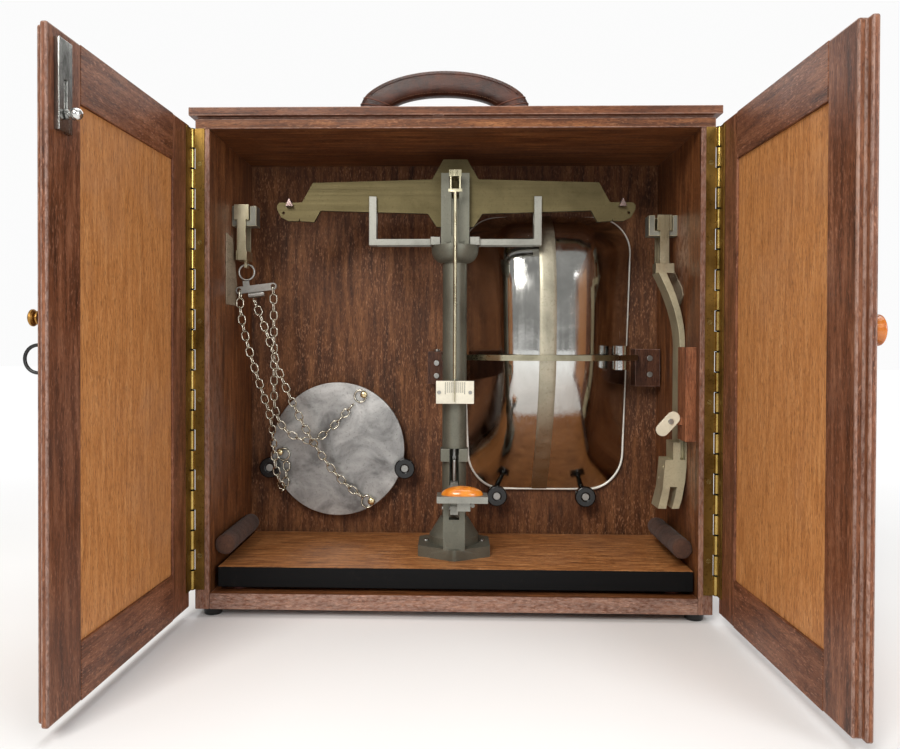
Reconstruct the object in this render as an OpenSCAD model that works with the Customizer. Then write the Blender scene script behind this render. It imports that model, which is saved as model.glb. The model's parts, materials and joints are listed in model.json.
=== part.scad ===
// Portable equal-arm beam scale in a two-door mahogany travelling case.
// Millimetres, +Z up, doors towards -Y, centre of the standing footprint at the origin.

/* [Case] */
// Outside width of the case body
case_width = 500; // [460:540]
// Depth of the case body, front edge to back face
case_depth = 171; // [150:200]
// Height of the case body under the lid board
case_height = 476; // [440:520]
// Thickness of the two side boards
side_thick = 14; // [10:20]
// Thickness of the bottom board
floor_thick = 15.5; // [10:22]
// Thickness of the top board
top_thick = 9.5; // [8:16]
// Thickness of the back board
back_thick = 7; // [5:12]
// Thickness of the overhanging lid board
lid_thick = 8; // [6:12]
// Overhang of the lid board at the sides and front
lid_over = 5; // [3:10]
// Height of the rubber feet
foot_h = 8; // [5:14]
// Diameter of the rubber feet
foot_d = 19.5; // [14:26]

/* [Doors] */
// Opening angle of the left door as drawn
left_open = 92.43; // [90:100]
// Opening angle of the right door as drawn
right_open = 91.3; // [90:100]
// Thickness of each door
door_thick = 11; // [9:16]
// Lower edge of the doors above the case bottom
door_low = 3.5; // [1:6]
// Upper edge of the doors above the case bottom
door_high = 469; // [440:474]
// Width of the left door from hinge pin to meeting edge
left_w = 254.5; // [250:256]
// Width of the right door from hinge pin to its inner meeting edge
right_w = 249.5; // [246:251]
// Distance the right door's lip overlaps the left door
lip = 6.5; // [4:9]
// Height of the top and bottom rails of a door
rail_h = 42; // [30:60]

/* [Scale stand] */
// Offset of the stand from the case centre line
stand_x = 2; // [-5:5]
// Distance of the pillar axis behind the case front
stand_y = 76.5; // [70:85]
// Width of the base board
board_w = 464; // [440:466]
// Thickness of the base board
board_t = 20.3; // [16:24]
// Diameter of the pillar
pillar_d = 25.4; // [22:30]
// Width of the six-sided base plate across its flats
hex_flats = 74.5; // [66:84]
// Height of the knife line above the case bottom
knife_z = 412; // [400:420]
// Length of each beam arm, centre knife to end knife
arm = 174.5; // [150:180]
// Thickness of the beam plate
beam_t = 5; // [4:8]

/* [Hangers and load] */
// Diameter of the round weight plate
plate_d = 153; // [140:170]
// Thickness of the round weight plate
plate_t = 5; // [3:8]
// Width of the flat band soldered along the goods pan
band_w = 17.6; // [12:24]
// Width of the goods pan
pan_w = 194; // [170:200]
// Height of the goods pan as stowed
pan_h = 314.5; // [280:320]
// Depth of the goods pan
pan_deep = 87; // [60:88]
// Wall thickness of the goods pan
pan_wall = 1.6; // [1.2:3]
// Spacing of the chain links
link_pitch = 9; // [8.6:9.1]

/* [Hidden] */
$fn = 48;
e = 0.01;
hw = case_width / 2;
in_x = hw - side_thick;
in_y = case_depth - back_thick;
in_top = case_height - top_thick;
hinge_x = hw + 2.5;
hinge_y = -1.5;
knuckle_r = 2.75;
knuckle_n = 23;
hinge_low = 19.5;
hinge_high = in_top;
knuckle_h = (hinge_high - hinge_low) / knuckle_n;
face_n = -1.5;
back_n = face_n - door_thick;
mid_n = face_n - door_thick / 2;
shift_x = 3.23;
shift_y = 43.14;
board_z = 19.5;
board_top = board_z + board_t;
hex_top = board_top + 11.2;
cap_low = 343.6;
cap_top = 362.5;
slot_half = 4;
hang_y0 = 80;
hang_y1 = 97;
plate_x = -131.6;
plate_z = 138.5;
pan_x = 107;
pan_zc = 248.8;
pan_rim = 160;
lid_z = case_height + 2;
lid_top = lid_z + lid_thick;
pivot_z = lid_top + 8;
handle_x = -10;
handle_y = 84;
bolt_t = 238;
lever_y = 44;
lever_z = 92;

module placed() translate([shift_x, shift_y, foot_h]) children();
module at_left_door() translate([-hinge_x, hinge_y, 0]) rotate([0, 0, -left_open]) children();
module at_right_door() translate([hinge_x, hinge_y, 0]) rotate([0, 0, right_open]) mirror([1, 0, 0]) children();
module box(x0, x1, y0, y1, z0, z1) translate([x0, y0, z0]) cube([x1 - x0, y1 - y0, z1 - z0]);
module rod_x(x0, x1, y, z, r) translate([x0, y, z]) rotate([0, 90, 0]) cylinder(r = r, h = x1 - x0);
module rod_y(x, y0, y1, z, r) translate([x, y0, z]) rotate([-90, 0, 0]) cylinder(r = r, h = y1 - y0);
module rod_z(x, y, z0, z1, r) translate([x, y, z0]) cylinder(r = r, h = z1 - z0);
module prism_y(pts, y0, y1) translate([0, y1, 0]) rotate([90, 0, 0]) linear_extrude(height = y1 - y0) polygon(pts);

// ---- case ----
module case_left_side() color([0.36, 0.17, 0.11]) placed()
  box(-hw, -in_x, 0, case_depth, 0, in_top);

module case_right_side() color([0.36, 0.17, 0.11]) placed()
  box(in_x, hw, 0, case_depth, 0, in_top);

module case_bottom() color([0.38, 0.19, 0.12]) placed()
  box(-in_x, in_x, 0, in_y, 0, floor_thick);

module case_top() color([0.36, 0.17, 0.11]) placed()
  box(-hw, hw, 0, case_depth, in_top, case_height);

module case_back() color([0.32, 0.15, 0.10]) placed()
  box(-in_x, in_x, in_y, case_depth, 0, in_top);

// lid board over a set-back fillet, with the socket for the left door's bolt
module lid_board() color([0.38, 0.18, 0.12]) placed() difference() {
  union() {
    box(-hw - lid_over, hw + lid_over, -lid_over, case_depth, lid_z, lid_top);
    box(-hw + 2, hw - 2, 2, case_depth - 2, case_height, lid_z + e);
  }
  box(-hinge_x + bolt_t - 4.5, -hinge_x + bolt_t + 4.5, -3.4, 0, lid_z - 1, lid_z + 6.5);
}

module case_feet() color([0.06, 0.06, 0.06]) placed()
  for (x = [-236, 236], y = [14, 155]) translate([x, y, -foot_h])
    cylinder(r1 = foot_d / 2 - 1, r2 = foot_d / 2, h = foot_h);

module handle_lugs() color([0.62, 0.58, 0.5]) placed()
  for (s = [-86, 66]) {
    box(s - 12, s + 12, handle_y - 13, handle_y + 13, lid_top, lid_top + 1);
    box(s - 2.5, s + 2.5, handle_y - 5, handle_y + 5, lid_top + 0.5, pivot_z);
    rod_x(s - 2.5, s + 2.5, handle_y, pivot_z, 5);
    rod_x(s - 11, s + 11, handle_y, pivot_z, 2.5);
  }

// half of a leaf hinge that stands on the case front edge
module leaf(first, out) difference() {
  union() {
    box(3.2, 12, -1.3, 0, 0, hinge_high - hinge_low);
    for (k = [first : 2 : knuckle_n - 1]) translate([0, 0, k * knuckle_h + 0.15]) {
      translate([0, out, 0]) cylinder(r = knuckle_r, h = knuckle_h - 0.3);
      box(0, 3.3, -1.3, 0, 0, knuckle_h - 0.3);
    }
  }
  translate([0, out, -1]) cylinder(r = 1.3, h = hinge_high - hinge_low + 2);
}

module case_hinge_leaves() color([0.50, 0.42, 0.22]) placed() {
  translate([-hinge_x, 0, hinge_low]) leaf(0, hinge_y);
  translate([hinge_x, 0, hinge_low]) mirror([1, 0, 0]) leaf(0, hinge_y);
}

module hinge_pins() color([0.55, 0.5, 0.35]) placed()
  for (s = [-1, 1]) rod_z(s * hinge_x, hinge_y, hinge_low, hinge_high, 1.25);

// padded rolls on the side walls that keep the board from lifting
module wall_rolls() color([0.42, 0.33, 0.32]) placed()
  for (s = [-1, 1]) {
    rod_y(s * (in_x - 10.2), 15, 120, 59, 10.2);
    translate([s * (in_x - 10.2), 120, 59]) scale([1, 0.35, 1]) sphere(r = 10.2);
  }

// open-topped rests for the two stirrups
module rest(x0, x1, z0, z1, s0, s1, zf) difference() {
  box(x0, x1, hang_y0, hang_y1, z0, z1);
  box(s0, s1, hang_y0 - 1, hang_y1 + 1, zf, z1 + 1);
}
module hanger_brackets() color([0.45, 0.45, 0.42]) placed() {
  rest(-in_x, -210, 384.4, 405.9, -233.5, -216.9, 390.8);
  rest(206, in_x, 373.9, 395.6, 212.4, 231, 379.4);
}

// thin pads that keep the hanging parts off the side walls
module wall_pads() color([0.60, 0.54, 0.46]) placed() {
  translate([-in_x, 0, 0]) rotate([90, 0, 90]) linear_extrude(height = 1.4)
    polygon([[56, 300], [92, 300], [97, 320], [78, 371], [56, 374]]);
  translate([in_x - 1.4, 0, 0]) rotate([90, 0, 90]) linear_extrude(height = 1.4)
    polygon([[55, 310], [66, 300], [118, 344], [112, 352], [60, 318]]);
}

module stud_spots() for (p = [[plate_x - 77.3, plate_z - 21], [plate_x + 77.3, plate_z - 21], [50.5, 87], [150.7, 87]])
  translate([p[0], 0, p[1]]) children();

module wall_studs() color([0.05, 0.05, 0.05]) placed() stud_spots() difference() {
  union() {
    rod_y(0, 137, 145.6, 0, 11.7);
    rod_y(0, 145, in_y, 0, 3.4);
  }
  rod_y(0, 136, 140, 0, 4.2);
}

// screws in studs, blocks and turn button, and the strap's pivot pin
module wall_fixings() color([0.7, 0.7, 0.68]) placed() {
  stud_spots() rod_y(0, 138.2, 140, 0, 4.1);
  for (z = [244.2, 226]) rod_y(222.2, 138.8, 140, z, 3.2);
  for (z = [238.8, 225]) rod_y(-17.5, 95.8, 97, z, 3);
  rod_y(213.3, 15, 16.8, 184.3, 2.6);
  rod_y(213.3, 16.7, 29, 184.3, 1.5);
  rod_z(-17, 109, 230, 251.1, 2);
  rod_z(-17, 109, 251, 253.6, 3.4);
}

module strap_blocks() color([0.30, 0.10, 0.07]) placed() {
  box(206, 234, 140, in_y, 212.5, 254.6);
  difference() {
    box(-27, -1, 97, in_y, 216, 251);
    box(-24, 0, 101.5, 117, 241.4, 248.6);
    box(-12, 0, 96, 117, 241.4, 248.6);
    rod_z(-17, 109, 230, 252, 2);
  }
}

// block on the right wall with a small lug for the turn button
module carrier_cleat() color([0.40, 0.16, 0.11]) placed() difference() {
  union() {
    box(225.5, in_x, 10, 37.5, 165, 257);
    box(209.5, 226, 20.4, 29, 180.5, 188);
  }
  rod_y(213.3, 20, 29, 184.3, 1.5);
}

// off-centre rounded button turning on its screw
module turn_button() color([0.90, 0.86, 0.74]) placed() translate([213.3, 17, 184.3]) rotate([0, -48, 0]) difference() {
  union() {
    box(-11.2, 4.2, 0, 3, -6.4, 6.4);
    translate([-11.2, 0, 0]) rotate([-90, 0, 0]) cylinder(r = 6.4, h = 3);
    translate([4.2, 0, 0]) rotate([-90, 0, 0]) cylinder(r = 6.4, h = 3);
  }
  rod_y(0, -1, 4, 0, 1.56);
}

// ---- pan strap ----
function strap_y(x) = x < 20 ? 109 - (x + 17) * 0.4392 : x < 52 ? 92.75 - (x - 20) * 0.711 : x < 148 ? 70 : 70 + (x - 148) * 0.807;
module pan_strap() color([0.52, 0.48, 0.38]) placed() difference() {
  union() {
    translate([0, 0, 242]) linear_extrude(height = 6) polygon(concat(
      [for (x = [-8 : 8 : 192]) [x, strap_y(x) - 1.2]],
      [[203, 116], [209, 139.6], [206.4, 139.6], [200.8, 118]],
      [for (x = [192 : -8 : -8]) [x, strap_y(x) + 1.3]]));
    box(-17, -7.6, 103.9, 106.4, 242, 248);
    rod_z(-17, 109, 242, 248, 4.2);
  }
  rod_z(-17, 109, 241, 249, 2.05);
}

// grooved barrel behind the strap
module strap_clamp() color([0.8, 0.8, 0.8]) placed() difference() {
  rod_z(183, 108.4, 232, 258, 9.2);
  translate([0, 0, 241.9]) linear_extrude(height = 6.2) polygon(concat(
    [for (x = [164 : 4 : 204]) [x, strap_y(x) - 12]],
    [for (x = [204 : -4 : 164]) [x, strap_y(x) + 1.6]]));
}

// ---- doors ----
module door_rails(w0, w1) {
  box(w0, w1, back_n, face_n, door_low, door_low + rail_h);
  box(w0, w1, back_n, face_n, door_high - rail_h, door_high);
}
module door_panel(w0, w1) {
  box(w0, w1, back_n + 3, face_n - 2, door_low + rail_h, door_high - rail_h);
}

module left_door_stiles() color([0.42, 0.20, 0.13]) placed() at_left_door() {
  box(2.6, 43, back_n, face_n, door_low, door_high);
  difference() {
    box(210.4, left_w, back_n, face_n, door_low, door_high);
    box(left_w - lip, left_w + 1, back_n - 1, mid_n + 0.2, door_low - 1, door_high + 1);
  }
}
module left_door_rails() color([0.42, 0.20, 0.13]) placed() at_left_door() door_rails(43, 210.4);
module left_door_panel() color([0.52, 0.28, 0.17]) placed() at_left_door() door_panel(43, 210.4);
module left_door_leaf() color([0.50, 0.42, 0.22]) placed() at_left_door()
  translate([0, face_n + 1.3, hinge_low]) leaf(1, -face_n - 1.3);

module bolt_plate() color([0.66, 0.67, 0.66]) placed() at_left_door() difference() {
  box(bolt_t - 8.5, bolt_t + 8.5, face_n, face_n + 4, 400, 461.5);
  box(bolt_t - 4.2, bolt_t + 4.2, face_n - 1, face_n + 2.8, 399, 463);
  box(bolt_t - 2, bolt_t + 2, face_n, face_n + 5, 409.5, 435);
}
module bolt_slide() color([0.8, 0.8, 0.8]) placed() at_left_door() {
  box(bolt_t - 4, bolt_t + 4, face_n + 0.1, face_n + 2.7, 402, 462);
  rod_y(bolt_t, 1, 8, 412, 1.7);
  rod_y(bolt_t, 3.4, 5.2, 412, 3.4);
  translate([bolt_t, 9.6, 412]) sphere(r = 4.4);
}
module left_door_knob() color([0.66, 0.52, 0.26]) placed() at_left_door() {
  translate([244, back_n, 275]) rotate([90, 0, 0]) {
    cylinder(r = 4.8, h = 1.2);
    cylinder(r = 2.6, h = 4.5);
    translate([0, 0, 2.8]) cylinder(r1 = 4.2, r2 = 5.8, h = 1.4);
    translate([0, 0, 4.2]) cylinder(r = 5.8, h = 1.2);
    translate([0, 0, 5.4]) cylinder(r1 = 5.8, r2 = 4.2, h = 1.2);
  }
}
module door_pull() color([0.05, 0.05, 0.05]) placed() at_left_door() {
  for (z = [238.2, 256.8]) rod_y(244, back_n - 1.3, back_n, z, 1.2);
  translate([244, back_n - 1.3, 247.5]) rotate([0, 90, 0]) rotate([0, 0, 180])
    rotate_extrude(angle = 180) translate([9.3, 0]) circle(r = 1.2);
}

module right_door_stiles() color([0.42, 0.20, 0.13]) placed() at_right_door() {
  box(2.6, 41, back_n, face_n, door_low, door_high);
  box(209.5, right_w, back_n, face_n, door_low, door_high);
  box(right_w - e, right_w + lip, back_n, mid_n - 0.2, door_low, door_high);
}
module right_door_rails() color([0.42, 0.20, 0.13]) placed() at_right_door() door_rails(41, 209.5);
module right_door_panel() color([0.52, 0.28, 0.17]) placed() at_right_door() door_panel(41, 209.5);
module right_door_leaf() color([0.50, 0.42, 0.22]) placed() at_right_door()
  translate([0, face_n + 1.3, hinge_low]) leaf(1, -face_n - 1.3);
module right_door_knob() color([0.75, 0.42, 0.14]) placed() at_right_door() {
  translate([239, back_n - 10, 268.5]) rotate([-90, 0, 0]) cylinder(r1 = 11, r2 = 7, h = 10);
}

// ---- carrying handle ----
function arch(a, b, n) = [for (k = [0 : n]) [handle_x + a * cos(180 - 180 * k / n), pivot_z + 9 + b * sin(180 - 180 * k / n)]];
module carry_handle() color([0.20, 0.08, 0.05]) placed() difference() {
  union() {
    prism_y(concat(arch(93, 45.5, 24), [for (k = [24 : -1 : 0]) arch(59, 18.6, 24)[k]]), handle_y - 11.5, handle_y + 11.5);
    for (s = [-86, 66]) {
      box(s - 11, s + 11, handle_y - 6, handle_y + 6, pivot_z, pivot_z + 10);
      rod_x(s - 11, s + 11, handle_y, pivot_z, 6);
    }
  }
  for (s = [-86, 66]) {
    box(s - 3, s + 3, handle_y - 12, handle_y + 12, pivot_z - 8, pivot_z + 8.5);
    rod_x(s - 12, s + 12, handle_y, pivot_z, 2.55);
  }
}

// ---- scale stand ----
module base_board() color([0.50, 0.32, 0.18]) placed()
  box(stand_x - board_w / 2, stand_x + board_w / 2, 8, 161, board_z, board_top);

module board_feet() color([0.35, 0.12, 0.10]) placed()
  for (x = [-212, 216], y = [22, 146]) rod_z(x, y, floor_thick + 0.1, board_z, 7);

// six-sided plate, round boss and the upright clevis that carries the lever
module pillar_base() color([0.43, 0.44, 0.40]) placed() difference() {
  union() {
    translate([stand_x, stand_y, board_top]) intersection() {
      rotate([0, 0, 30]) cylinder(r = hex_flats / sqrt(3), h = 11.2, $fn = 6);
      translate([-60, -41.6, -1]) cube([120, 83.2, 14]);
    }
    translate([stand_x, stand_y, hex_top - 1]) cylinder(r = 26, h = 8.6);
    translate([stand_x, stand_y, hex_top + 7.5]) cylinder(r1 = 26, r2 = 14.5, h = 18.5);
    box(stand_x - 11, stand_x + 11, 38, 50.6, hex_top - 1, 99.5);
    box(stand_x - 11, stand_x + 11, 50.5, 56, hex_top - 1, hex_top + 7);
  }
  rod_z(stand_x, stand_y, hex_top, hex_top + 40, pillar_d / 2 + 0.02);
  box(stand_x - 5.3, stand_x + 5.3, 37, 51, 81.3, 101);
  rod_x(stand_x - 12, stand_x + 12, lever_y, lever_z, 2.02);
}

// base and index screws, and the lever's pivot pin
module stand_fasteners() color([0.6, 0.6, 0.56]) placed() {
  for (s = [-29.5, 29.5]) translate([stand_x + s, stand_y + 2, hex_top]) cylinder(r1 = 3.4, r2 = 2.6, h = 1.2);
  for (s = [-15.8, 16.2]) rod_y(stand_x + s, 50.6, 51.6, 209.6, 1.9);
  rod_x(stand_x - 12.4, stand_x + 12.4, lever_y, lever_z, 2);
}

// tube with the window for the lifting finger
module pillar_tube() color([0.43, 0.44, 0.40]) placed() difference() {
  rod_z(stand_x, stand_y, hex_top, cap_low, pillar_d / 2);
  rod_z(stand_x, stand_y, 110, cap_low + 1, 4.05);
  box(stand_x - 5, stand_x + 5, 60, stand_y, 112, 150);
}

module pillar_collar() color([0.40, 0.41, 0.38]) placed() difference() {
  union() {
    rod_z(stand_x, stand_y, 137, 150, pillar_d / 2 + 2);
    box(stand_x - 14, stand_x - 5, 60.4, 66, 137, 150);
    box(stand_x + 5, stand_x + 14, 60.4, 66, 137, 150);
  }
  rod_z(stand_x, stand_y, 136, 151, pillar_d / 2 + 0.02);
  box(stand_x - 5, stand_x + 5, 58, stand_y, 136, 151);
}

module pillar_capital() color([0.43, 0.44, 0.40]) placed() translate([stand_x, stand_y, 0]) difference() {
  rotate_extrude() polygon(concat([[0, cap_low], [12.7, cap_low], [12.9, cap_low + 1]],
    [for (k = [1 : 8]) [12.9 + 11.8 * sin(k * 11.25), cap_low + 1 + 14.4 * (1 - cos(k * 11.25))]],
    [[24.7, cap_top], [0, cap_top]]));
  translate([0, 0, cap_low - 1]) cylinder(r = 4.05, h = 30);
}

module relief_side(s) {
  box(15.4, 25.6, 64, 89, cap_top, 371);
  box(25.5, 90.5, 69.5, 72.5, cap_top, 369.4);
  box(25.5, 90.5, 80.5, 83.2, cap_top, 369.4);
  box(82.5, 90.5, 69.5, 83.2, cap_top, 386);
  box(82.5, 90.5, 69.5, 72.5, 386 - e, 414);
  box(82.5, 90.5, 80.5, 83.2, 386 - e, 414);
}
module relief_arms() color([0.46, 0.47, 0.44]) placed() translate([stand_x, 0, 0]) {
  relief_side();
  mirror([1, 0, 0]) relief_side();
}

module thumb_lever() color([0.60, 0.60, 0.57]) placed() difference() {
  union() {
    box(-15, 35, 9, 33, 103.5, 110);
    box(5, 18, 18, 36, 94, 103.6);
    box(stand_x - 4, stand_x + 4, 30, 56.5, 88, 96.5);
    rod_x(stand_x - 4, stand_x + 4, lever_y, lever_z, 5);
    box(stand_x - 4, stand_x + 4, 56, 63, 88, 112.7);
    box(stand_x - 4, stand_x + 4, 56, 72, 112.6, 116);
    rod_y(20.5, 24, 30, 98.5, 2);
    box(17, 21, 24, 30, 97.5, 99.5);
  }
  rod_x(stand_x - 12, stand_x + 12, lever_y, lever_z, 2.05);
}

module thumb_button() color([0.95, 0.55, 0.12]) placed() intersection() {
  translate([10, 21, 110]) scale([1, 0.5, 0.42]) sphere(r = 20.8);
  box(-12, 32, 5, 40, 110, 125);
}

module lifting_rod() color([0.62, 0.62, 0.6]) placed() {
  rod_z(stand_x, stand_y, 141, 363.1, 4);
  rod_z(stand_x, 65.2, 116.3, 137.2, 2.1);
  translate([stand_x, 65.2, 137.2]) sphere(r = 2.1);
  box(stand_x - 1.8, stand_x + 1.8, 66, 73.5, 129, 134);
  box(stand_x - 1.8, stand_x + 1.8, 73, 79, 129, 141.5);
}

// slotted fork with the two bearing blocks between its cheeks
module bearing_fork() color([0.44, 0.45, 0.42]) placed() translate([stand_x, 0, 0]) difference() {
  union() {
    box(-14.7, 14.7, 64, 67, 363.1, 437);
    box(-14.7, 14.7, 86, 89, 363.1, 437);
    box(-14.7, 14.7, 66.5, 86.5, 363.1, 371);
    box(-8, 8, 66.9, 73.2, 371 - e, knife_z - 1);
    box(-8, 8, 79.8, 86.1, 371 - e, knife_z - 1);
    for (s = [-7.4, 7.1]) rod_y(s, 62.9, 64.1, 367.8, 2.6);
  }
  box(-slot_half, slot_half, 63, 67.02, 372, 438);
}

function mx(p) = [for (k = [len(p) - 1 : -1 : 0]) [-p[k][0], p[k][1]]];
beam_side = [[0, 453.5], [12.6, 453.5], [24.4, 432.5], [150.5, 429.2], [162, 408.5], [186, 408.2],
  [188.6, 405.6], [188.6, 401], [184, 392.5], [176, 388.6], [165.4, 388.6], [164.6, 391], [163.6, 388.6],
  [149, 387.6], [142.3, 399.6], [28.7, 396.3], [19.5, 382.4], [0, 382.4]];
module knife_shape(up, w, h) polygon(up ? [[-w / 2, 0], [w / 2, 0], [0, h]] : [[-w / 2, h], [w / 2, h], [0, 0]]);
module beam_knives_raw() {
  translate([stand_x, 85.6, knife_z - 0.9]) rotate([90, 0, 0]) linear_extrude(height = 18.2) knife_shape(false, 6.4, 8);
  for (s = [-1, 1]) translate([stand_x + s * arm, 85, knife_z - 8.4]) rotate([90, 0, 0])
    linear_extrude(height = 17) knife_shape(true, 8, 8.4);
}
module beam() color([0.55, 0.50, 0.36]) placed() difference() {
  translate([stand_x, 0, 0]) prism_y(concat(beam_side, mx([for (k = [1 : len(beam_side) - 2]) beam_side[k]])), stand_y - beam_t / 2, stand_y + beam_t / 2);
  beam_knives_raw();
  for (s = [-1, 1]) rod_y(stand_x + s * 181.5, 70, 82, 397.3, 1.5);
}
module beam_knives() color([0.7, 0.71, 0.73]) placed() beam_knives_raw();

module pointer() color([0.58, 0.58, 0.55]) placed() translate([stand_x, 0, 0]) {
  box(-6.3, 6.3, 47.4, 50.6, 430.4, 437);
  rod_y(0, 50.5, stand_y - beam_t / 2, 433.7, 1.8);
  for (s = [-4.7, 4.7]) rod_z(s, 49, 417.5, 430.5, 1.2);
  box(-7.1, 7.1, 47.4, 50.6, 414.6, 417.6);
  rod_z(0, 49, 223.5, 414.7, 1.7);
  box(-0.5, 0.5, 48.6, 49.6, 200, 223.6);
}

// scale plate on a block bent round the pillar
module index_plate() color([0.88, 0.87, 0.80]) placed() union() {
  box(stand_x - 19, stand_x + 20, 51.6, 53, 197.9, 221.4);
  difference() {
    box(stand_x - 9, stand_x + 9, 52.9, 70, 204, 214);
    rod_z(stand_x, stand_y, 200, 218, pillar_d / 2 + 0.02);
  }
}

// ---- left hanger ----
module stirrup(xs, zt, z_low, w_low, y_low) {
  for (y = [hang_y0 - 3.7, hang_y1 + 0.7]) {
    box(xs - 7.7, xs + 7.7, y, y + 3, zt - 16.1, zt);
    box(xs - 4.7, xs + 4.7, y, y + 3, z_low + e, zt - 15);
  }
  box(xs - 7.4, xs + 7.4, hang_y0 - 1, hang_y1 + 1, zt - 16.1, zt - 3);
  box(xs - w_low, xs + w_low, y_low, hang_y1 + 3.7, z_low - 10, z_low + 0.1);
}
module stirrup_left() color([0.78, 0.72, 0.55]) placed() difference() {
  union() {
    stirrup(-225.2, 407, 358, 5.8, hang_y0 - 3.7);
    box(-223.9, -220.9, 84, 93, 340.5, 348.1);
  }
  rod_x(-225, -219, 88.5, 344.3, 1.8);
}

module chain_yoke() color([0.62, 0.60, 0.52]) placed() {
  translate([-222.4, 88.5, 336]) rotate([90, 0, 0]) rotate_extrude() translate([8.3, 0]) circle(r = 1.1, $fn = 24);
  difference() {
    translate([-212, 87, 318.6]) rotate([0, -7, 0]) union() {
      box(-18.5, 18.5, 0, 3, -3.8, 3.8);
      for (s = [-18.5, 18.5]) rod_y(s, 0, 3, 0, 3.8);
      box(-13.5, -6.5, 0, 3, 3.5, 9.8);
      rod_x(-9, 8, 1.5, -6.6, 3);
    }
    translate([-212, 86, 318.6]) rotate([0, -7, 0]) for (s = [-18.5, 18.5]) rod_y(s, 0, 5, 0, 2.4);
    rod_x(-228, -216, 88.5, 327.7, 1.9);
  }
}

function bez(p, t) = pow(1 - t, 3) * p[0] + 3 * pow(1 - t, 2) * t * p[1] + 3 * (1 - t) * t * t * p[2] + pow(t, 3) * p[3];
function track(p, n) = [for (k = [0 : n]) bez(p, k / n)];
function at_len(q, s, i = 0) = (i >= len(q) - 2 || s <= norm(q[i + 1] - q[i])) ?
  [q[i] + (q[i + 1] - q[i]) * s / norm(q[i + 1] - q[i]), q[i + 1] - q[i]] : at_len(q, s - norm(q[i + 1] - q[i]), i + 1);
function run_len(q, i = 0) = i >= len(q) - 1 ? 0 : norm(q[i + 1] - q[i]) + run_len(q, i + 1);
module oval(r, l, h) {
  for (k = [-1, 1]) translate([0, k * l, 0]) cylinder(r = r, h = h, center = true, $fn = 24);
  cube([2 * r, 2 * l, h], center = true);
}
module link() rotate([90, 0, 0]) difference() {
  oval(4.3, 1.55, 1.3);
  oval(3, 1.55, 3);
}
module chain(q, turn) for (k = [0 : floor(run_len(q) / link_pitch)]) {
  s = at_len(q, k * link_pitch);
  d = s[1] / norm(s[1]);
  translate(s[0]) rotate([asin(-d[1]), atan2(d[0], d[2]), 0]) rotate([0, 0, 90 * ((k + turn) % 2)]) link();
}
function join(a) = [for (p = a) each track(p, 12)];
module ring(r, w) rotate([90, 0, 0]) rotate_extrude() translate([r, 0]) circle(r = w, $fn = 24);
module suspension_chains() color([0.66, 0.63, 0.52]) placed() {
  chain(join([[[-229.6, 88.5, 311.7], [-231, 86, 285], [-219, 91, 245], [-203.5, 101, 192]],
    [[-203, 101.8, 190], [-197, 105, 170], [-199.5, 115, 150], [-200.5, 126, 133]],
    [[-200.5, 126.4, 131], [-200.2, 127.4, 122], [-197.4, 128.4, 108], [-194, 136.8, 95]],
    [[-193.7, 137.8, 94], [-192.6, 141, 86], [-190, 142.2, 104], [-190.3, 142.5, 121]]]), 1);
  chain(join([[[-193.6, 88.5, 316.2], [-194.5, 97, 280], [-195.5, 100, 240], [-197.5, 110, 200]],
    [[-197.6, 111, 198], [-199, 118, 170], [-184, 128, 152], [-163, 133, 149.5]],
    [[-162, 133.2, 149.4], [-150, 136, 149.5], [-135, 139.5, 165], [-113, 142.3, 191]]]), 1);
  chain(join([[[-213, 88.5, 302.9], [-206, 87, 285], [-196, 86, 262], [-190, 95, 233]],
    [[-189.6, 96, 231], [-182, 103, 208], [-172, 114, 180], [-156.6, 125, 149]],
    [[-156, 125.6, 148], [-143, 133, 123], [-124, 139, 98], [-104.5, 141.6, 86]]]), 1);
  translate([-194, 143.9, 132.2]) ring(6.8, 0.65);
  translate([-105.7, 143.9, 199.5]) ring(6.8, 0.65);
  translate([-97.2, 143.9, 78.8]) ring(6.8, 0.65);
}

module weight_plate() color([0.62, 0.63, 0.62]) placed()
  rod_y(plate_x, 147, 147 + plate_t, plate_z, plate_d / 2);

// headed studs that the chain rings hang on
module plate_studs() color([0.72, 0.62, 0.40]) placed() for (p = [[-197.9, 135], [-101.3, 201.4], [-92.4, 79.6]])
  translate([p[0], 0, p[1]]) {
    rod_y(0, 141.4, 147, 0, 1.2);
    rod_y(0, 140, 141.5, 0, 4);
    translate([0, 140, 0]) scale([1, 0.45, 1]) sphere(r = 4);
  }

// ---- right hanger ----
module stirrup_right() color([0.78, 0.72, 0.55]) placed() {
  stirrup(221.7, 395.6, 343, 5.8, 60);
  box(208.6, 216, 60, 74, 333, 343.1);
}

function bow(s) = [for (k = [0 : 10]) let (t = k / 10, z = 258 + 75 * t) [235.4 - 2.7 + s * 2.7 * (1 + 0.5 * t) - 20.8 * t * t * (1.15 - 0.15 * t), z]];
module carrier_arm() color([0.74, 0.69, 0.54]) placed() prism_y(concat(
  [[229.9, 143.8], [235.3, 143.8]], bow(1), mz(bow(-1))), 47, 74);
function mz(p) = [for (k = [len(p) - 1 : -1 : 0]) p[k]];

module carrier_fork() color([0.80, 0.75, 0.60]) placed() difference() {
  union() {
    prism_y([[214.3, 143.5], [213.1, 130.3], [211.6, 113.2], [207, 94.4], [215.1, 94.3], [217.4, 106], [219, 116.3],
      [225.9, 116.3], [224, 106], [221, 94.3], [228, 94.6], [230.9, 104.4], [234, 122], [235.2, 136], [235.4, 143.5]], 39, 66);
    box(222, 229.2, 39, 46.9, 143.4, 161);
    box(234, 235.4, 39, 46.9, 143.4, 161);
    box(222, 229.8, 46.8, 66, 143.4, 161);
  }
  rod_x(205, 214.5, 45, 136, 2);
  rod_x(205, 214.5, 58, 123, 2);
}

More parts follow.
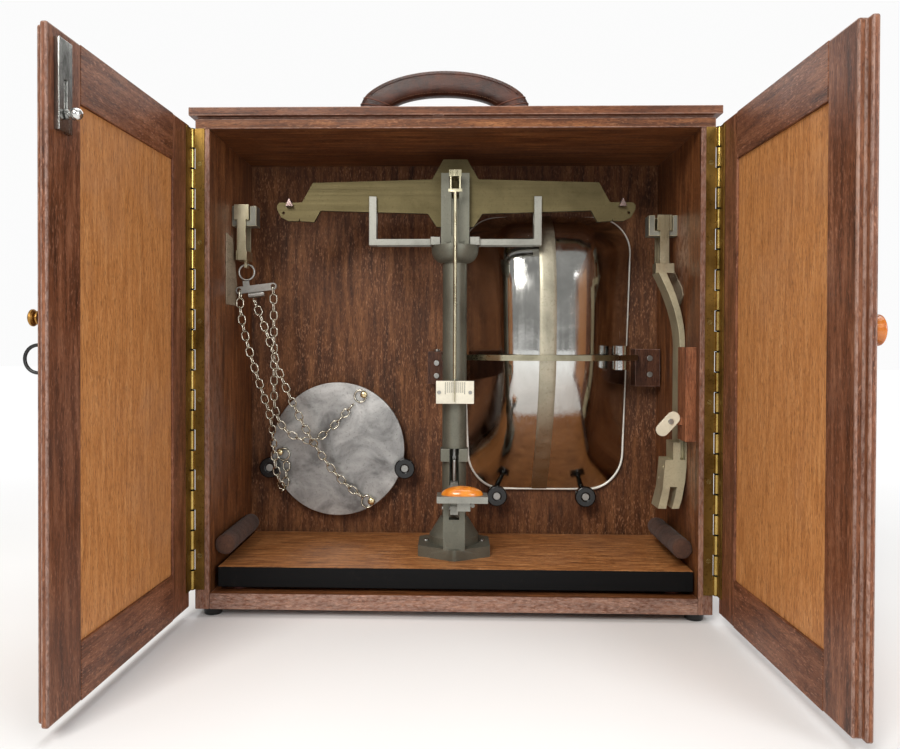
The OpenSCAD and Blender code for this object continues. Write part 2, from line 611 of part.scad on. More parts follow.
// ---- goods pan ----
pan_rows = 22;
pan_cols = 18;
pan_r = 42;
deep_x = 100;
function pan_v(z) = z < 0 ? 1 - pow(-z, 1.6) : pow(1 - pow(z, 4.2), 0.5);
function row_z(i) = -cos(180 * i / pan_rows);
function taper(z) = 1 - 0.051 * (0.76 - z);
function half_w(z, wid, hh, r) = taper(z) * (abs(z * hh) <= hh - r ? wid : wid - r + sqrt(max(0, r * r - pow(abs(z * hh) - (hh - r), 2))));
function side_u(x, w) = x < deep_x ? (deep_x - x) / (deep_x - pan_x + w) : (x - deep_x) / (pan_x + w - deep_x);
function side_s(u) = (u - 0.5 + sqrt(pow(u - 0.5, 2) + 0.0144)) / 2;
function side_h(u) = (side_s(min(1, u)) - side_s(0)) / (side_s(1) - side_s(0));
function pan_y(x, z, w, deep) = pan_rim - deep * pan_v(z) * (1 - side_h(side_u(x, w)));
function pan_grid(wid, hh, r, deep) = [for (i = [0 : pan_rows], j = [0 : pan_cols])
  let (z = row_z(i), w = half_w(z, wid, hh, r), x = pan_x + w * sin(-90 + 180 * j / pan_cols))
  [x, i == 0 || i == pan_rows || j == 0 || j == pan_cols ? pan_rim : pan_y(x, z, w, deep), pan_zc + z * hh]];
band_cols = 4;
function band_grid(off) = [for (i = [1 : pan_rows - 1], j = [0 : band_cols])
  let (z = row_z(i), w = half_w(z, pan_w / 2, pan_h / 2, pan_r), x = deep_x + band_w * (j / band_cols - 0.5))
  [x, pan_y(x, z, w, pan_deep) - off, pan_zc + z * pan_h / 2]];
// closed skin between an outer and an inner grid of points
module skin(outer, inner, rows, cols) {
  m = (rows + 1) * (cols + 1);
  function id(i, j) = i * (cols + 1) + j;
  rim = concat([for (j = [0 : cols - 1]) id(0, j)], [for (i = [0 : rows - 1]) id(i, cols)],
    [for (j = [cols : -1 : 1]) id(rows, j)], [for (i = [rows : -1 : 1]) id(i, 0)]);
  polyhedron(points = concat(outer, inner), faces = concat(
    [for (i = [0 : rows - 1], j = [0 : cols - 1]) each [[id(i, j), id(i + 1, j), id(i + 1, j + 1)], [id(i, j), id(i + 1, j + 1), id(i, j + 1)]]],
    [for (i = [0 : rows - 1], j = [0 : cols - 1]) each [[m + id(i, j), m + id(i + 1, j + 1), m + id(i + 1, j)], [m + id(i, j), m + id(i, j + 1), m + id(i + 1, j + 1)]]],
    [for (k = [0 : len(rim) - 1]) let (a = rim[k], b = rim[(k + 1) % len(rim)]) each [[a, b, m + b], [a, m + b, m + a]]]));
}
// closed bowl from a grid of points up to a flat lid
module bowl(g, rows, cols, top) {
  m = (rows + 1) * (cols + 1);
  function id(i, j) = i * (cols + 1) + j;
  rim = concat([for (j = [0 : cols - 1]) id(0, j)], [for (i = [0 : rows - 1]) id(i, cols)],
    [for (j = [cols : -1 : 1]) id(rows, j)], [for (i = [rows : -1 : 1]) id(i, 0)]);
  n = len(rim);
  polyhedron(points = concat(g, [for (k = rim) [g[k][0], top, g[k][2]]], [[pan_x, top, pan_zc]]), faces = concat(
    [for (i = [0 : rows - 1], j = [0 : cols - 1]) each [[id(i, j), id(i + 1, j), id(i + 1, j + 1)], [id(i, j), id(i + 1, j + 1), id(i, j + 1)]]],
    [for (k = [0 : n - 1]) let (a = rim[k], b = rim[(k + 1) % n], l = (k + 1) % n) each [[a, b, m + l], [a, m + l, m + k]]],
    [for (k = [0 : n - 1]) [m + k, m + (k + 1) % n, m + n]]));
}
module goods_pan() color([0.8, 0.8, 0.8]) placed() difference() {
  bowl(pan_grid(pan_w / 2, pan_h / 2, pan_r, pan_deep), pan_rows, pan_cols, pan_rim + 1);
  bowl(pan_grid(pan_w / 2 - pan_wall, pan_h / 2 - pan_wall, pan_r - pan_wall, pan_deep - pan_wall), pan_rows, pan_cols, pan_rim + 3);
}
module pan_band() color([0.62, 0.62, 0.60]) placed()
  skin(band_grid(1.2), band_grid(0.2), pan_rows - 2, band_cols);

case_left_side();
case_right_side();
case_bottom();
case_top();
case_back();
lid_board();
case_feet();
handle_lugs();
case_hinge_leaves();
hinge_pins();
wall_rolls();
hanger_brackets();
wall_pads();
wall_studs();
wall_fixings();
strap_blocks();
carrier_cleat();
turn_button();
pan_strap();
strap_clamp();
left_door_stiles();
left_door_rails();
left_door_panel();
left_door_leaf();
bolt_plate();
bolt_slide();
left_door_knob();
door_pull();
right_door_stiles();
right_door_rails();
right_door_panel();
right_door_leaf();
right_door_knob();
carry_handle();
base_board();
board_feet();
pillar_base();
stand_fasteners();
pillar_tube();
pillar_collar();
pillar_capital();
relief_arms();
thumb_lever();
thumb_button();
lifting_rod();
bearing_fork();
beam();
beam_knives();
pointer();
index_plate();
stirrup_left();
chain_yoke();
suspension_chains();
weight_plate();
plate_studs();
stirrup_right();
carrier_arm();
carrier_fork();
goods_pan();
pan_band();
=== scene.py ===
import bpy
import bmesh
import json
import math
import random
from mathutils import Vector, Matrix
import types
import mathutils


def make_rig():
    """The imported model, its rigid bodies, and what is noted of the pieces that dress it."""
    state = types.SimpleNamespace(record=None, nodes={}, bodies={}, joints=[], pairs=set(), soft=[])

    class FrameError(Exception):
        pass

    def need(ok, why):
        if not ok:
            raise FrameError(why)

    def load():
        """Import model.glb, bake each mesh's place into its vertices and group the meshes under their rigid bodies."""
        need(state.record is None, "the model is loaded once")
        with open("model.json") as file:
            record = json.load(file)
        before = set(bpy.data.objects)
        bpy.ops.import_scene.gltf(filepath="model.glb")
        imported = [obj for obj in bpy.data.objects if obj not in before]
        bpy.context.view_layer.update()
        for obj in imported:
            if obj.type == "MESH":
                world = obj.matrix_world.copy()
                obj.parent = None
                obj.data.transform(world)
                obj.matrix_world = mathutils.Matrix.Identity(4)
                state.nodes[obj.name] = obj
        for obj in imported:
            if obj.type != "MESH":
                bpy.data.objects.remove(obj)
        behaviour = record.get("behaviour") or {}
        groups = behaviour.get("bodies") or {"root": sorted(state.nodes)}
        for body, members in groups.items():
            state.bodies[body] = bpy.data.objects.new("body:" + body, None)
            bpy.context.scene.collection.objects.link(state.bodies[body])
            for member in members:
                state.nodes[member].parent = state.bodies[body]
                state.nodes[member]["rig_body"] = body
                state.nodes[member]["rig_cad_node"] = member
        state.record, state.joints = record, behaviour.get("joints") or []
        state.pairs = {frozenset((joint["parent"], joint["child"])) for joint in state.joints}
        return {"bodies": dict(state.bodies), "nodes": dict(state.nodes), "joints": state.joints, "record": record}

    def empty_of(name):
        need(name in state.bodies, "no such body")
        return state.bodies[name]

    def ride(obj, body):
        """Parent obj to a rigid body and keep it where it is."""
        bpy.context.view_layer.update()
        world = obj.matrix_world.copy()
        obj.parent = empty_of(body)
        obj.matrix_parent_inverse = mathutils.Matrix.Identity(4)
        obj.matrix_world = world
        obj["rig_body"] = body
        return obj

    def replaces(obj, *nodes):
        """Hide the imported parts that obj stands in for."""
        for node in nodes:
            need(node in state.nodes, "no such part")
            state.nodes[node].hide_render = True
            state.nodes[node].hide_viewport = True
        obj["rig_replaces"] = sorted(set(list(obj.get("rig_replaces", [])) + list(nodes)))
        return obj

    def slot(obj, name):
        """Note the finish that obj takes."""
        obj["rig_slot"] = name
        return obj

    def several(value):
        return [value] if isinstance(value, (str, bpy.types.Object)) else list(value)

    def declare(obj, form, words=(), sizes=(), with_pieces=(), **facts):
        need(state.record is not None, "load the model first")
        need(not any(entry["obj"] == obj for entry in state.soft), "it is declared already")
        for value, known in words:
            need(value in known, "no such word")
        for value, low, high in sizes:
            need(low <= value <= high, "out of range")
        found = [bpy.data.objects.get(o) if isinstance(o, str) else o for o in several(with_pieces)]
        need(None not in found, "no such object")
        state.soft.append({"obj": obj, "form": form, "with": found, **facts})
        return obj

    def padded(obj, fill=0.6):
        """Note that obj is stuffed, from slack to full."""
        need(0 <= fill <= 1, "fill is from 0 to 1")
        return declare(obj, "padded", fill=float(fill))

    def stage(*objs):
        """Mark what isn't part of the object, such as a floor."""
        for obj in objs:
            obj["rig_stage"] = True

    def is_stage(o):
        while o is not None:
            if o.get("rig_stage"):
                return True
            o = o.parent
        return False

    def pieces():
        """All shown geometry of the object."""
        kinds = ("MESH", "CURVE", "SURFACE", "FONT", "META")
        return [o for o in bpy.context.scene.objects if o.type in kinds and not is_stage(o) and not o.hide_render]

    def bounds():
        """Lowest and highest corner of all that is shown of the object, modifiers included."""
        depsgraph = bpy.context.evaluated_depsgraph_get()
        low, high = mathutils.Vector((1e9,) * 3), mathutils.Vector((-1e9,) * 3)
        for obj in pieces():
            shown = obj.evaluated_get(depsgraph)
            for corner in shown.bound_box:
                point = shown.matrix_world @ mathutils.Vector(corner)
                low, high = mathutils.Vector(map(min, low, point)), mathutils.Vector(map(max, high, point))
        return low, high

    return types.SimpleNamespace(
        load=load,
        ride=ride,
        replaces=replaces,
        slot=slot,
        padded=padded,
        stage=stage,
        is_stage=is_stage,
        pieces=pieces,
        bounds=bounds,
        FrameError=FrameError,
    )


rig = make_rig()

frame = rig.load()
cad_lo, cad_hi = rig.bounds()
NODES = frame["nodes"]
SLOT = {s["node"]: s["material_slot"] for s in frame["record"]["subparts"]}
BODY = {n: b for b, ns in frame["record"]["behaviour"]["bodies"].items() for n in ns}
rng = random.Random(11)
SHIFT = Vector((3.23, 43.14, 8.0))


def C(x, y, z):
    """A point given in case millimetres, as metres in the frame."""
    return Vector((x + SHIFT.x, y + SHIFT.y, z + SHIFT.z)) / 1000


# ---------------------------------------------------------------- materials
def lin(r, g, b):
    def f(c):
        c /= 255
        return c / 12.92 if c <= 0.04045 else ((c + 0.055) / 1.055) ** 2.4
    return (f(r), f(g), f(b), 1.0)


class Tree:
    def __init__(self, name):
        self.mat = bpy.data.materials.new(name)
        self.mat.use_nodes = True
        self.t = self.mat.node_tree
        self.n = self.t.nodes
        self.b = self.n["Principled BSDF"]
        self.tc = self.n.new("ShaderNodeTexCoord")

    def link(self, a, b):
        self.t.links.new(a, b)

    def mapping(self, sx, sy, sz, loc=(0, 0, 0), rot=(0, 0, 0)):
        m = self.n.new("ShaderNodeMapping")
        m.inputs["Scale"].default_value = (sx, sy, sz)
        m.inputs["Location"].default_value = loc
        m.inputs["Rotation"].default_value = rot
        self.link(self.tc.outputs["Object"], m.inputs["Vector"])
        return m.outputs["Vector"]

    def noise(self, vec, scale, detail=4, rough=0.6, dist=0.0):
        x = self.n.new("ShaderNodeTexNoise")
        x.inputs["Scale"].default_value = scale
        x.inputs["Detail"].default_value = detail
        x.inputs["Roughness"].default_value = rough
        x.inputs["Distortion"].default_value = dist
        self.link(vec, x.inputs["Vector"])
        return x.outputs["Fac"]

    def ramp(self, fac, stops):
        r = self.n.new("ShaderNodeValToRGB")
        e = r.color_ramp.elements
        while len(e) < len(stops):
            e.new(0.5)
        for k, (p, c) in enumerate(stops):
            e[k].position = p
            e[k].color = c if len(c) == 4 else (*c, 1)
        self.link(fac, r.inputs["Fac"])
        return r.outputs["Color"]

    def grey(self, fac, p0, v0, p1, v1):
        r = self.n.new("ShaderNodeMapRange")
        r.inputs["From Min"].default_value = p0
        r.inputs["From Max"].default_value = p1
        r.inputs["To Min"].default_value = v0
        r.inputs["To Max"].default_value = v1
        self.link(fac, r.inputs["Value"])
        return r.outputs["Result"]

    def mix(self, fac, a, b, mode="MIX"):
        m = self.n.new("ShaderNodeMix")
        m.data_type = "RGBA"
        m.blend_type = mode
        for sock, v in ((m.inputs[0], fac), (m.inputs[6], a), (m.inputs[7], b)):
            if hasattr(v, "is_output"):
                self.link(v, sock)
            else:
                sock.default_value = v
        return m.outputs[2]

    def math(self, op, a, b=None):
        m = self.n.new("ShaderNodeMath")
        m.operation = op
        for k, v in enumerate((a, b)):
            if v is None:
                continue
            if hasattr(v, "is_output"):
                self.link(v, m.inputs[k])
            else:
                m.inputs[k].default_value = v
        return m.outputs[0]

    def bump(self, height, strength, dist=0.0004, prev=None):
        b = self.n.new("ShaderNodeBump")
        b.inputs["Strength"].default_value = strength
        b.inputs["Distance"].default_value = dist
        self.link(height, b.inputs["Height"])
        if prev is not None:
            self.link(prev, b.inputs["Normal"])
        return b.outputs["Normal"]

    def out(self, color, rough, normal=None, metallic=0.0):
        self.link(color, self.b.inputs["Base Color"])
        if hasattr(rough, "is_output"):
            self.link(rough, self.b.inputs["Roughness"])
        else:
            self.b.inputs["Roughness"].default_value = rough
        self.b.inputs["Metallic"].default_value = metallic
        if normal is not None:
            self.link(normal, self.b.inputs["Normal"])
        return self.mat


def wood(name, dark, mid, light, axis, rough=0.42, coarse=150, speck=0.5, pale=0.0, off=0.0, coat=0.0, patches=(), fig=0.75):
    """Short-grained hardwood with open pores; axis is the grain's direction, pale is how far an edge is rubbed."""
    t = Tree(name)

    def along(a, b):
        return [b if k == axis else a for k in range(3)]
    v = t.mapping(*along(coarse, coarse * 0.10), loc=(off, off * 1.7, off * 0.6))
    figure = t.noise(v, 1.0, 6, 0.66, 0.35)
    col = t.ramp(figure, [(0.50 - 0.25 * fig, dark), (0.50, mid), (0.50 + 0.27 * fig, light)])
    # open pores, short dark dashes along the grain
    v2 = t.mapping(*along(1000, 170), loc=(off * 3, 0, off))
    pores = t.noise(v2, 1.0, 2, 0.6)
    pm = t.grey(pores, 0.52, 0.0, 0.66, 1.0)
    col = t.mix(t.math("MULTIPLY", pm, 0.55), col, tuple(c * 0.42 for c in dark[:3]) + (1,))
    # pale filler left in some of the pores
    v3 = t.mapping(*along(760, 210), loc=(0, off * 2, off))
    flecks = t.noise(v3, 1.0, 2, 0.6)
    fm = t.grey(flecks, 0.55, 0.0, 0.70, 1.0)
    where = t.grey(t.noise(t.mapping(16, 16, 16, loc=(off, 2, off)), 1.0, 4, 0.65), 0.36, 0.25, 0.62, 1.0)
    pf = tuple(min(1, c * 1.55 + 0.05) for c in light[:3]) + (1,)
    col = t.mix(t.math("MULTIPLY", t.math("MULTIPLY", fm, where), speck), col, pf)
    # slow drift of tone and dulled polish
    blot = t.noise(t.mapping(7, 7, 7, loc=(off, off, 0)), 1.0, 4, 0.6, 0.4)
    dull = tuple(0.60 * c + 0.40 * (sum(mid[:3]) / 3) * 0.8 for c in mid[:3]) + (1,)
    col = t.mix(t.grey(blot, 0.50, 0.0, 0.78, 0.5), col, dull)
    if pale:
        v5 = t.mapping(*along(420, 150))
        w = t.noise(v5, 1.0, 4, 0.72)
        col = t.mix(t.grey(w, 0.38, 0.0, 0.60, pale), col, tuple(min(1, 0.70 * c + 0.15) for c in light[:3]) + (1,))
    for (p, r, amount) in patches:
        m = t.mapping(1 / r[0], 1 / r[1], 1 / r[2], loc=[-p[k] / r[k] for k in range(3)])
        d = t.n.new("ShaderNodeVectorMath")
        d.operation = "LENGTH"
        t.link(m, d.inputs[0])
        near = t.grey(d.outputs["Value"], 0.5, 1.0, 1.0, 0.0)
        brk = t.grey(t.noise(t.mapping(150, 150, 110), 1.0, 4, 0.7), 0.42, 0.0, 0.56, 1.0)
        col = t.mix(t.math("MULTIPLY", t.math("MULTIPLY", near, brk), amount), col, tuple(min(1, 0.8 * c + 0.13) for c in light[:3]) + (1,))
    ro = t.grey(blot, 0.3, rough - 0.09, 0.7, rough + 0.16)
    nb = t.bump(pores, 0.40, 0.0004)
    nb = t.bump(figure, 0.20, 0.0006, nb)
    t.b.inputs["Specular IOR Level"].default_value = 0.26
    t.b.inputs["Coat Weight"].default_value = coat
    t.b.inputs["Coat Roughness"].default_value = 0.35
    return t.out(col, ro, nb)


def metal(name, base, tint, rough=0.35, streak=None, spots=0.3, grain=700, dents=0.0, aniso=0.0, spotcol=None, metallic=1.0, rings=None):
    """Bare metal: fine brushing along an axis, tarnish blotches, small spots."""
    t = Tree(name)
    big = t.noise(t.mapping(24, 24, 24), 1.0, 4, 0.62, 0.5)
    col = t.ramp(big, [(0.32, base), (0.68, tint)])
    fine = t.noise(t.mapping(420, 420, 420), 1.0, 3, 0.65)
    sc = spotcol or tuple(c * 0.35 for c in base[:3]) + (1,)
    col = t.mix(t.math("MULTIPLY", t.grey(fine, 0.56, 0.0, 0.72, 1.0), spots), col, sc)
    if rings:
        sep = t.n.new("ShaderNodeSeparateXYZ")
        t.link(t.tc.outputs["Object"], sep.inputs[0])
        ph = t.math("FRACT", t.math("DIVIDE", t.math("SUBTRACT", sep.outputs["Z"], rings[0]), rings[1]))
        gap = t.math("LESS_THAN", t.math("PINGPONG", ph, 0.5), rings[2] / rings[1])
        col = t.mix(gap, col, (0.004, 0.003, 0.002, 1))
    if streak is not None:
        s = t.mapping(*[grain * 0.012 if k == streak else grain for k in range(3)])
    else:
        s = t.mapping(grain, grain, grain)
    line = t.noise(s, 1.0, 3, 0.7)
    ro = t.math("ADD", t.grey(line, 0.3, rough - 0.07, 0.7, rough + 0.09), t.grey(big, 0.35, -0.05, 0.7, 0.09))
    nb = t.bump(line, 0.10, 0.0002)
    nb = t.bump(fine, 0.10, 0.0003, nb)
    if dents:
        dn = t.noise(t.mapping(16, 16, 16, loc=(2, 5, 1)), 1.0, 2, 0.5)
        nb = t.bump(dn, dents, 0.004, nb)
    t.b.inputs["Anisotropic"].default_value = aniso
    return t.out(col, ro, nb, metallic)


def paint(name, base, worn, rough=0.5, chips=0.12, speck=0.25, metallic=0.0, orange=0.12, spec=0.5):
    """Lacquered or enamelled metal: soft colour drift, fine orange peel, rubbed and chipped spots."""
    t = Tree(name)
    big = t.noise(t.mapping(20, 20, 20, loc=(3, 1, 4)), 1.0, 4, 0.6, 0.3)
    b2 = tuple(c * 0.74 for c in base[:3]) + (1,)
    b3 = tuple(min(1, c * 1.18) for c in base[:3]) + (1,)
    col = t.ramp(big, [(0.30, b2), (0.52, base), (0.75, b3)])
    fine = t.noise(t.mapping(520, 520, 520), 1.0, 3, 0.6)
    col = t.mix(t.math("MULTIPLY", t.grey(fine, 0.52, 0.0, 0.72, 1.0), speck), col, tuple(c * 0.45 for c in base[:3]) + (1,))
    rub = t.noise(t.mapping(85, 85, 60, loc=(1, 7, 2)), 1.0, 5, 0.72)
    col = t.mix(t.math("MULTIPLY", t.grey(rub, 0.60, 0.0, 0.66, 1.0), chips * 4 if chips < 0.25 else 1.0), col, worn)
    ro = t.grey(big, 0.3, rough - 0.08, 0.7, rough + 0.12)
    nb = t.bump(fine, orange, 0.0003)
    nb = t.bump(rub, 0.08, 0.0004, nb)
    t.b.inputs["Specular IOR Level"].default_value = spec
    return t.out(col, ro, nb, metallic)


def soft(name, base, light, rough=0.9, weave=900, sheen=0.3, bump=0.5):
    t = Tree(name)
    big = t.noise(t.mapping(30, 30, 30), 1.0, 4, 0.65)
    col = t.ramp(big, [(0.30, base), (0.70, light)])
    fz = t.noise(t.mapping(weave, weave, weave), 1.0, 4, 0.7)
    col = t.mix(t.grey(fz, 0.45, 0.0, 0.75, 0.7), col, tuple(c * 0.4 for c in base[:3]) + (1,))
    t.b.inputs["Sheen Weight"].default_value = sheen
    nb = t.bump(fz, bump, 0.0006)
    nb = t.bump(big, 0.35, 0.0015, nb)
    return t.out(col, t.grey(big, 0.3, rough - 0.05, 0.7, min(1.0, rough + 0.06)), nb)


def leather(name, base, light, rough=0.42):
    t = Tree(name)
    v = t.n.new("ShaderNodeTexVoronoi")
    v.feature = "DISTANCE_TO_EDGE"
    v.inputs["Scale"].default_value = 1.0
    t.link(t.mapping(750, 750, 750), v.inputs["Vector"])
    cells = t.grey(v.outputs["Distance"], 0.0, 0.0, 0.16, 1.0)
    big = t.noise(t.mapping(42, 42, 42), 1.0, 5, 0.65, 0.5)
    col = t.ramp(big, [(0.34, base), (0.70, light)])
    col = t.mix(t.grey(cells, 0.0, 0.5, 0.5, 0.0), col, tuple(c * 0.35 for c in base[:3]) + (1,))
    crease = t.noise(t.mapping(60, 60, 260), 1.0, 4, 0.7, 0.8)
    col = t.mix(t.grey(crease, 0.52, 0.0, 0.70, 0.6), col, tuple(c * 0.4 for c in base[:3]) + (1,))
    nb = t.bump(cells, 0.30, 0.0003)
    nb = t.bump(crease, 0.5, 0.0008, nb)
    nb = t.bump(big, 0.35, 0.001, nb)
    return t.out(col, t.grey(big, 0.3, rough - 0.08, 0.7, rough + 0.14), nb)


def resin(name, base, deep, rough=0.14):
    t = Tree(name)
    big = t.noise(t.mapping(60, 60, 40), 1.0, 3, 0.6, 1.2)
    col = t.ramp(big, [(0.30, deep), (0.62, base)])
    sc = t.noise(t.mapping(900, 900, 300), 1.0, 3, 0.7)
    t.b.inputs["Subsurface Weight"].default_value = 0.25
    t.b.inputs["Subsurface Radius"].default_value = (0.01, 0.004, 0.001)
    t.b.inputs["Coat Weight"].default_value = 0.6
    return t.out(col, t.grey(sc, 0.3, rough, 0.7, rough + 0.12), t.bump(sc, 0.05, 0.0002))


KNUCKLE = 0.001 * (466.5 - 19.5) / 23
MAH = (lin(60, 33, 18), lin(108, 63, 34), lin(150, 98, 58))
FRM = (lin(66, 36, 22), lin(112, 66, 42), lin(150, 100, 72))
PNL = (lin(148, 92, 48), lin(188, 126, 72), lin(214, 156, 100))
BRD = (lin(96, 56, 28), lin(168, 108, 60), lin(214, 154, 98))
M = {
    "case_v": wood("case_wood_v", *MAH, 2, off=0.3, speck=0.45),
    "case_back": wood("case_wood_back", lin(54, 31, 18), lin(96, 58, 33), lin(138, 92, 57), 2, off=3.1, speck=0.7, rough=0.5),
    "wall_l": wood("case_wood_wall_l", *MAH, 2, off=5.1, speck=0.45, patches=[(C(-236, 62, 345), (0.009, 0.022, 0.05), 0.55), (C(-236, 20, 200), (0.009, 0.03, 0.12), 0.25)]),
    "wall_r": wood("case_wood_wall_r", *MAH, 2, off=6.3, speck=0.45, patches=[(C(236, 62, 352), (0.009, 0.03, 0.045), 0.6), (C(236, 25, 150), (0.009, 0.03, 0.12), 0.2)]),
    "case_h": wood("case_wood_h", *MAH, 0, off=1.3, speck=0.4),
    "lid": wood("lid_wood", lin(58, 30, 17), lin(98, 56, 33), lin(134, 86, 55), 0, off=7.7, speck=0.35, rough=0.38),
    "case_edge": wood("case_wood_edge", lin(78, 46, 32), lin(116, 74, 54), lin(156, 112, 88), 2, off=0.7, speck=0.5, pale=0.35),
    "case_edge_h": wood("case_wood_edge_h", lin(84, 52, 38), lin(124, 84, 66), lin(162, 122, 100), 0, off=0.9, speck=0.7, pale=0.45),
    "frame_v": wood("frame_wood_v", *FRM, 2, off=2.3, speck=0.5),
    "frame_y": wood("frame_wood_y", *FRM, 1, off=4.3, speck=0.6),
    "frame_edge": wood("frame_wood_edge", lin(84, 52, 38), lin(120, 80, 62), lin(158, 120, 100), 2, off=2.9, pale=0.42),
    "panel": wood("panel_wood", *PNL, 2, off=8.3, coarse=240, speck=0.25, rough=0.46, fig=1.1),
    "board": wood("board_wood", *BRD, 0, off=9.1, coarse=330, speck=0.3, rough=0.40, coat=0.1, fig=0.7),
    "block": wood("block_wood", lin(44, 24, 17), lin(76, 46, 32), lin(108, 70, 50), 2, off=4.9, speck=0.25),
    "block_edge": wood("block_wood_edge", lin(70, 40, 30), lin(104, 66, 50), lin(136, 94, 74), 2, off=4.1, pale=0.5),
    "cleat": wood("cleat_wood", lin(84, 46, 28), lin(132, 80, 52), lin(168, 112, 78), 2, off=5.9, speck=0.3),
}
M["board_edge"] = paint("board_black_edge", lin(10, 10, 11), lin(60, 50, 44), 0.55, 0.015, 0.2, spec=0.14)
M["rubber"] = paint("black_rubber", lin(8, 8, 9), lin(30, 30, 30), 0.18, 0.02, 0.15, orange=0.05)
M["redrub"] = soft("red_rubber", lin(74, 34, 28), lin(96, 50, 42), 0.75, 500, 0.0, 0.2)
M["felt"] = soft("felt_roll", lin(48, 30, 22), lin(98, 66, 50), 0.95, 480, 0.06, 1.0)
M["pad"] = leather("pale_hide", lin(136, 120, 98), lin(172, 158, 136), 0.6)
M["leather"] = leather("handle_leather", lin(40, 19, 12), lin(96, 52, 34), 0.34)
M["leather_edge"] = leather("handle_leather_edge", lin(86, 46, 32), lin(130, 78, 56), 0.5)
M["thread"] = soft("stitch_thread", lin(84, 56, 40), lin(118, 84, 62), 0.8, 1500, 0.1, 0.3)
M["steel"] = metal("worn_steel", lin(150, 150, 146), lin(186, 186, 182), 0.34, None, 0.25)
M["plate"] = metal("plate_steel", lin(118, 117, 116), lin(206, 206, 204), 0.42, None, 0.45, 500, spotcol=lin(96, 90, 84))
M["chain"] = metal("chain_steel", lin(186, 180, 162), lin(224, 220, 204), 0.20, None, 0.2)
M["hard"] = metal("hard_steel", lin(120, 100, 96), lin(160, 142, 138), 0.25, None, 0.2)
M["brass"] = metal("aged_brass", lin(128, 112, 66), lin(172, 152, 96), 0.38, None, 0.5, spotcol=lin(52, 46, 30))
# hinge brass: the knuckles take a lighter, glossier copy as a painted highlight, the leaves a darker copy and the pins
# a dark brass as painted shade; the dark rings are the joints between knuckles
M["knuckle"] = metal("hinge_knuckle_brass_painted_highlight", lin(150, 124, 62), lin(206, 178, 106), 0.22, 2, 0.45, spotcol=lin(60, 48, 26), rings=(0.0275, KNUCKLE, 0.0009))
M["leafbrass"] = metal("hinge_leaf_brass_painted_shade", lin(104, 80, 38), lin(148, 118, 62), 0.42, 2, 0.6, spotcol=lin(48, 38, 20))
M["pinbrass"] = metal("hinge_pin_painted_shade", lin(52, 42, 26), lin(84, 68, 40), 0.5, 2, 0.4)
M["bolt"] = metal("bolt_plate_steel", lin(120, 120, 116), lin(186, 186, 182), 0.20, 2, 0.5, 400, spotcol=lin(40, 40, 38))
M["knobbrass"] = metal("knob_brass", lin(150, 108, 52), lin(184, 142, 80), 0.42, None, 0.4)
M["bronze"] = metal("beam_bronze", lin(84, 76, 53), lin(106, 97, 70), 0.50, 0, 0.4, 420, spotcol=lin(70, 60, 36))
M["strap"] = metal("strap_metal", lin(150, 144, 120), lin(186, 180, 156), 0.32, 0, 0.3, 500)
M["pointer"] = metal("pointer_metal", lin(176, 170, 142), lin(206, 200, 172), 0.3, 2, 0.15)
M["gold"] = metal("stud_gold", lin(196, 178, 132), lin(226, 210, 166), 0.25, None, 0.2)
M["hanger"] = metal("hanger_metal", lin(180, 172, 142), lin(212, 205, 178), 0.36, 2, 0.25, 500)
M["greypaint"] = paint("grey_green_paint", lin(112, 112, 100), lin(146, 144, 132), 0.46, 0.05, 0.3, 0.55)
M["lightpaint"] = paint("light_grey_metal", lin(150, 150, 142), lin(182, 180, 170), 0.42, 0.05, 0.25, 0.7)
M["cream"] = paint("cream_metal", lin(190, 182, 152), lin(220, 212, 186), 0.4, 0.06, 0.3, 0.6)
M["darkpaint"] = paint("bracket_metal", lin(140, 140, 130), lin(176, 176, 166), 0.42, 0.06, 0.3, 0.75)
M["wire"] = paint("black_wire", lin(20, 20, 20), lin(60, 56, 50), 0.35, 0.02, 0.1)
M["mirror"] = metal("pan_mirror", lin(196, 196, 192), lin(214, 214, 210), 0.11, 2, 0.10, 260, dents=0.10)
# near-white non-metal finish of the pan's rolled rim: painted highlight standing in for the steel edge's bright
# reflection
M["rim"] = paint("pan_rim", lin(238, 236, 228), lin(190, 184, 172), 0.42, 0.06, 0.12, 0.15)
M["band"] = metal("pan_band", lin(160, 156, 138), lin(196, 190, 170), 0.42, 2, 0.4, 420, spotcol=lin(120, 112, 90))
M["chrome"] = metal("bright_plating", lin(196, 196, 194), lin(220, 220, 218), 0.14, 0, 0.12)
M["ivory"] = paint("ivory", lin(226, 222, 204), lin(200, 192, 168), 0.4, 0.03, 0.1)
M["button"] = paint("cream_button", lin(222, 214, 190), lin(190, 178, 150), 0.34, 0.04, 0.1)
M["amber"] = resin("amber_dome", lin(236, 150, 52), lin(206, 112, 30))
M["amber_knob"] = resin("amber_knob", lin(206, 122, 42), lin(160, 78, 20))
M["black"] = paint("black_marks", lin(18, 18, 18), lin(40, 40, 40), 0.5, 0.01, 0.05)


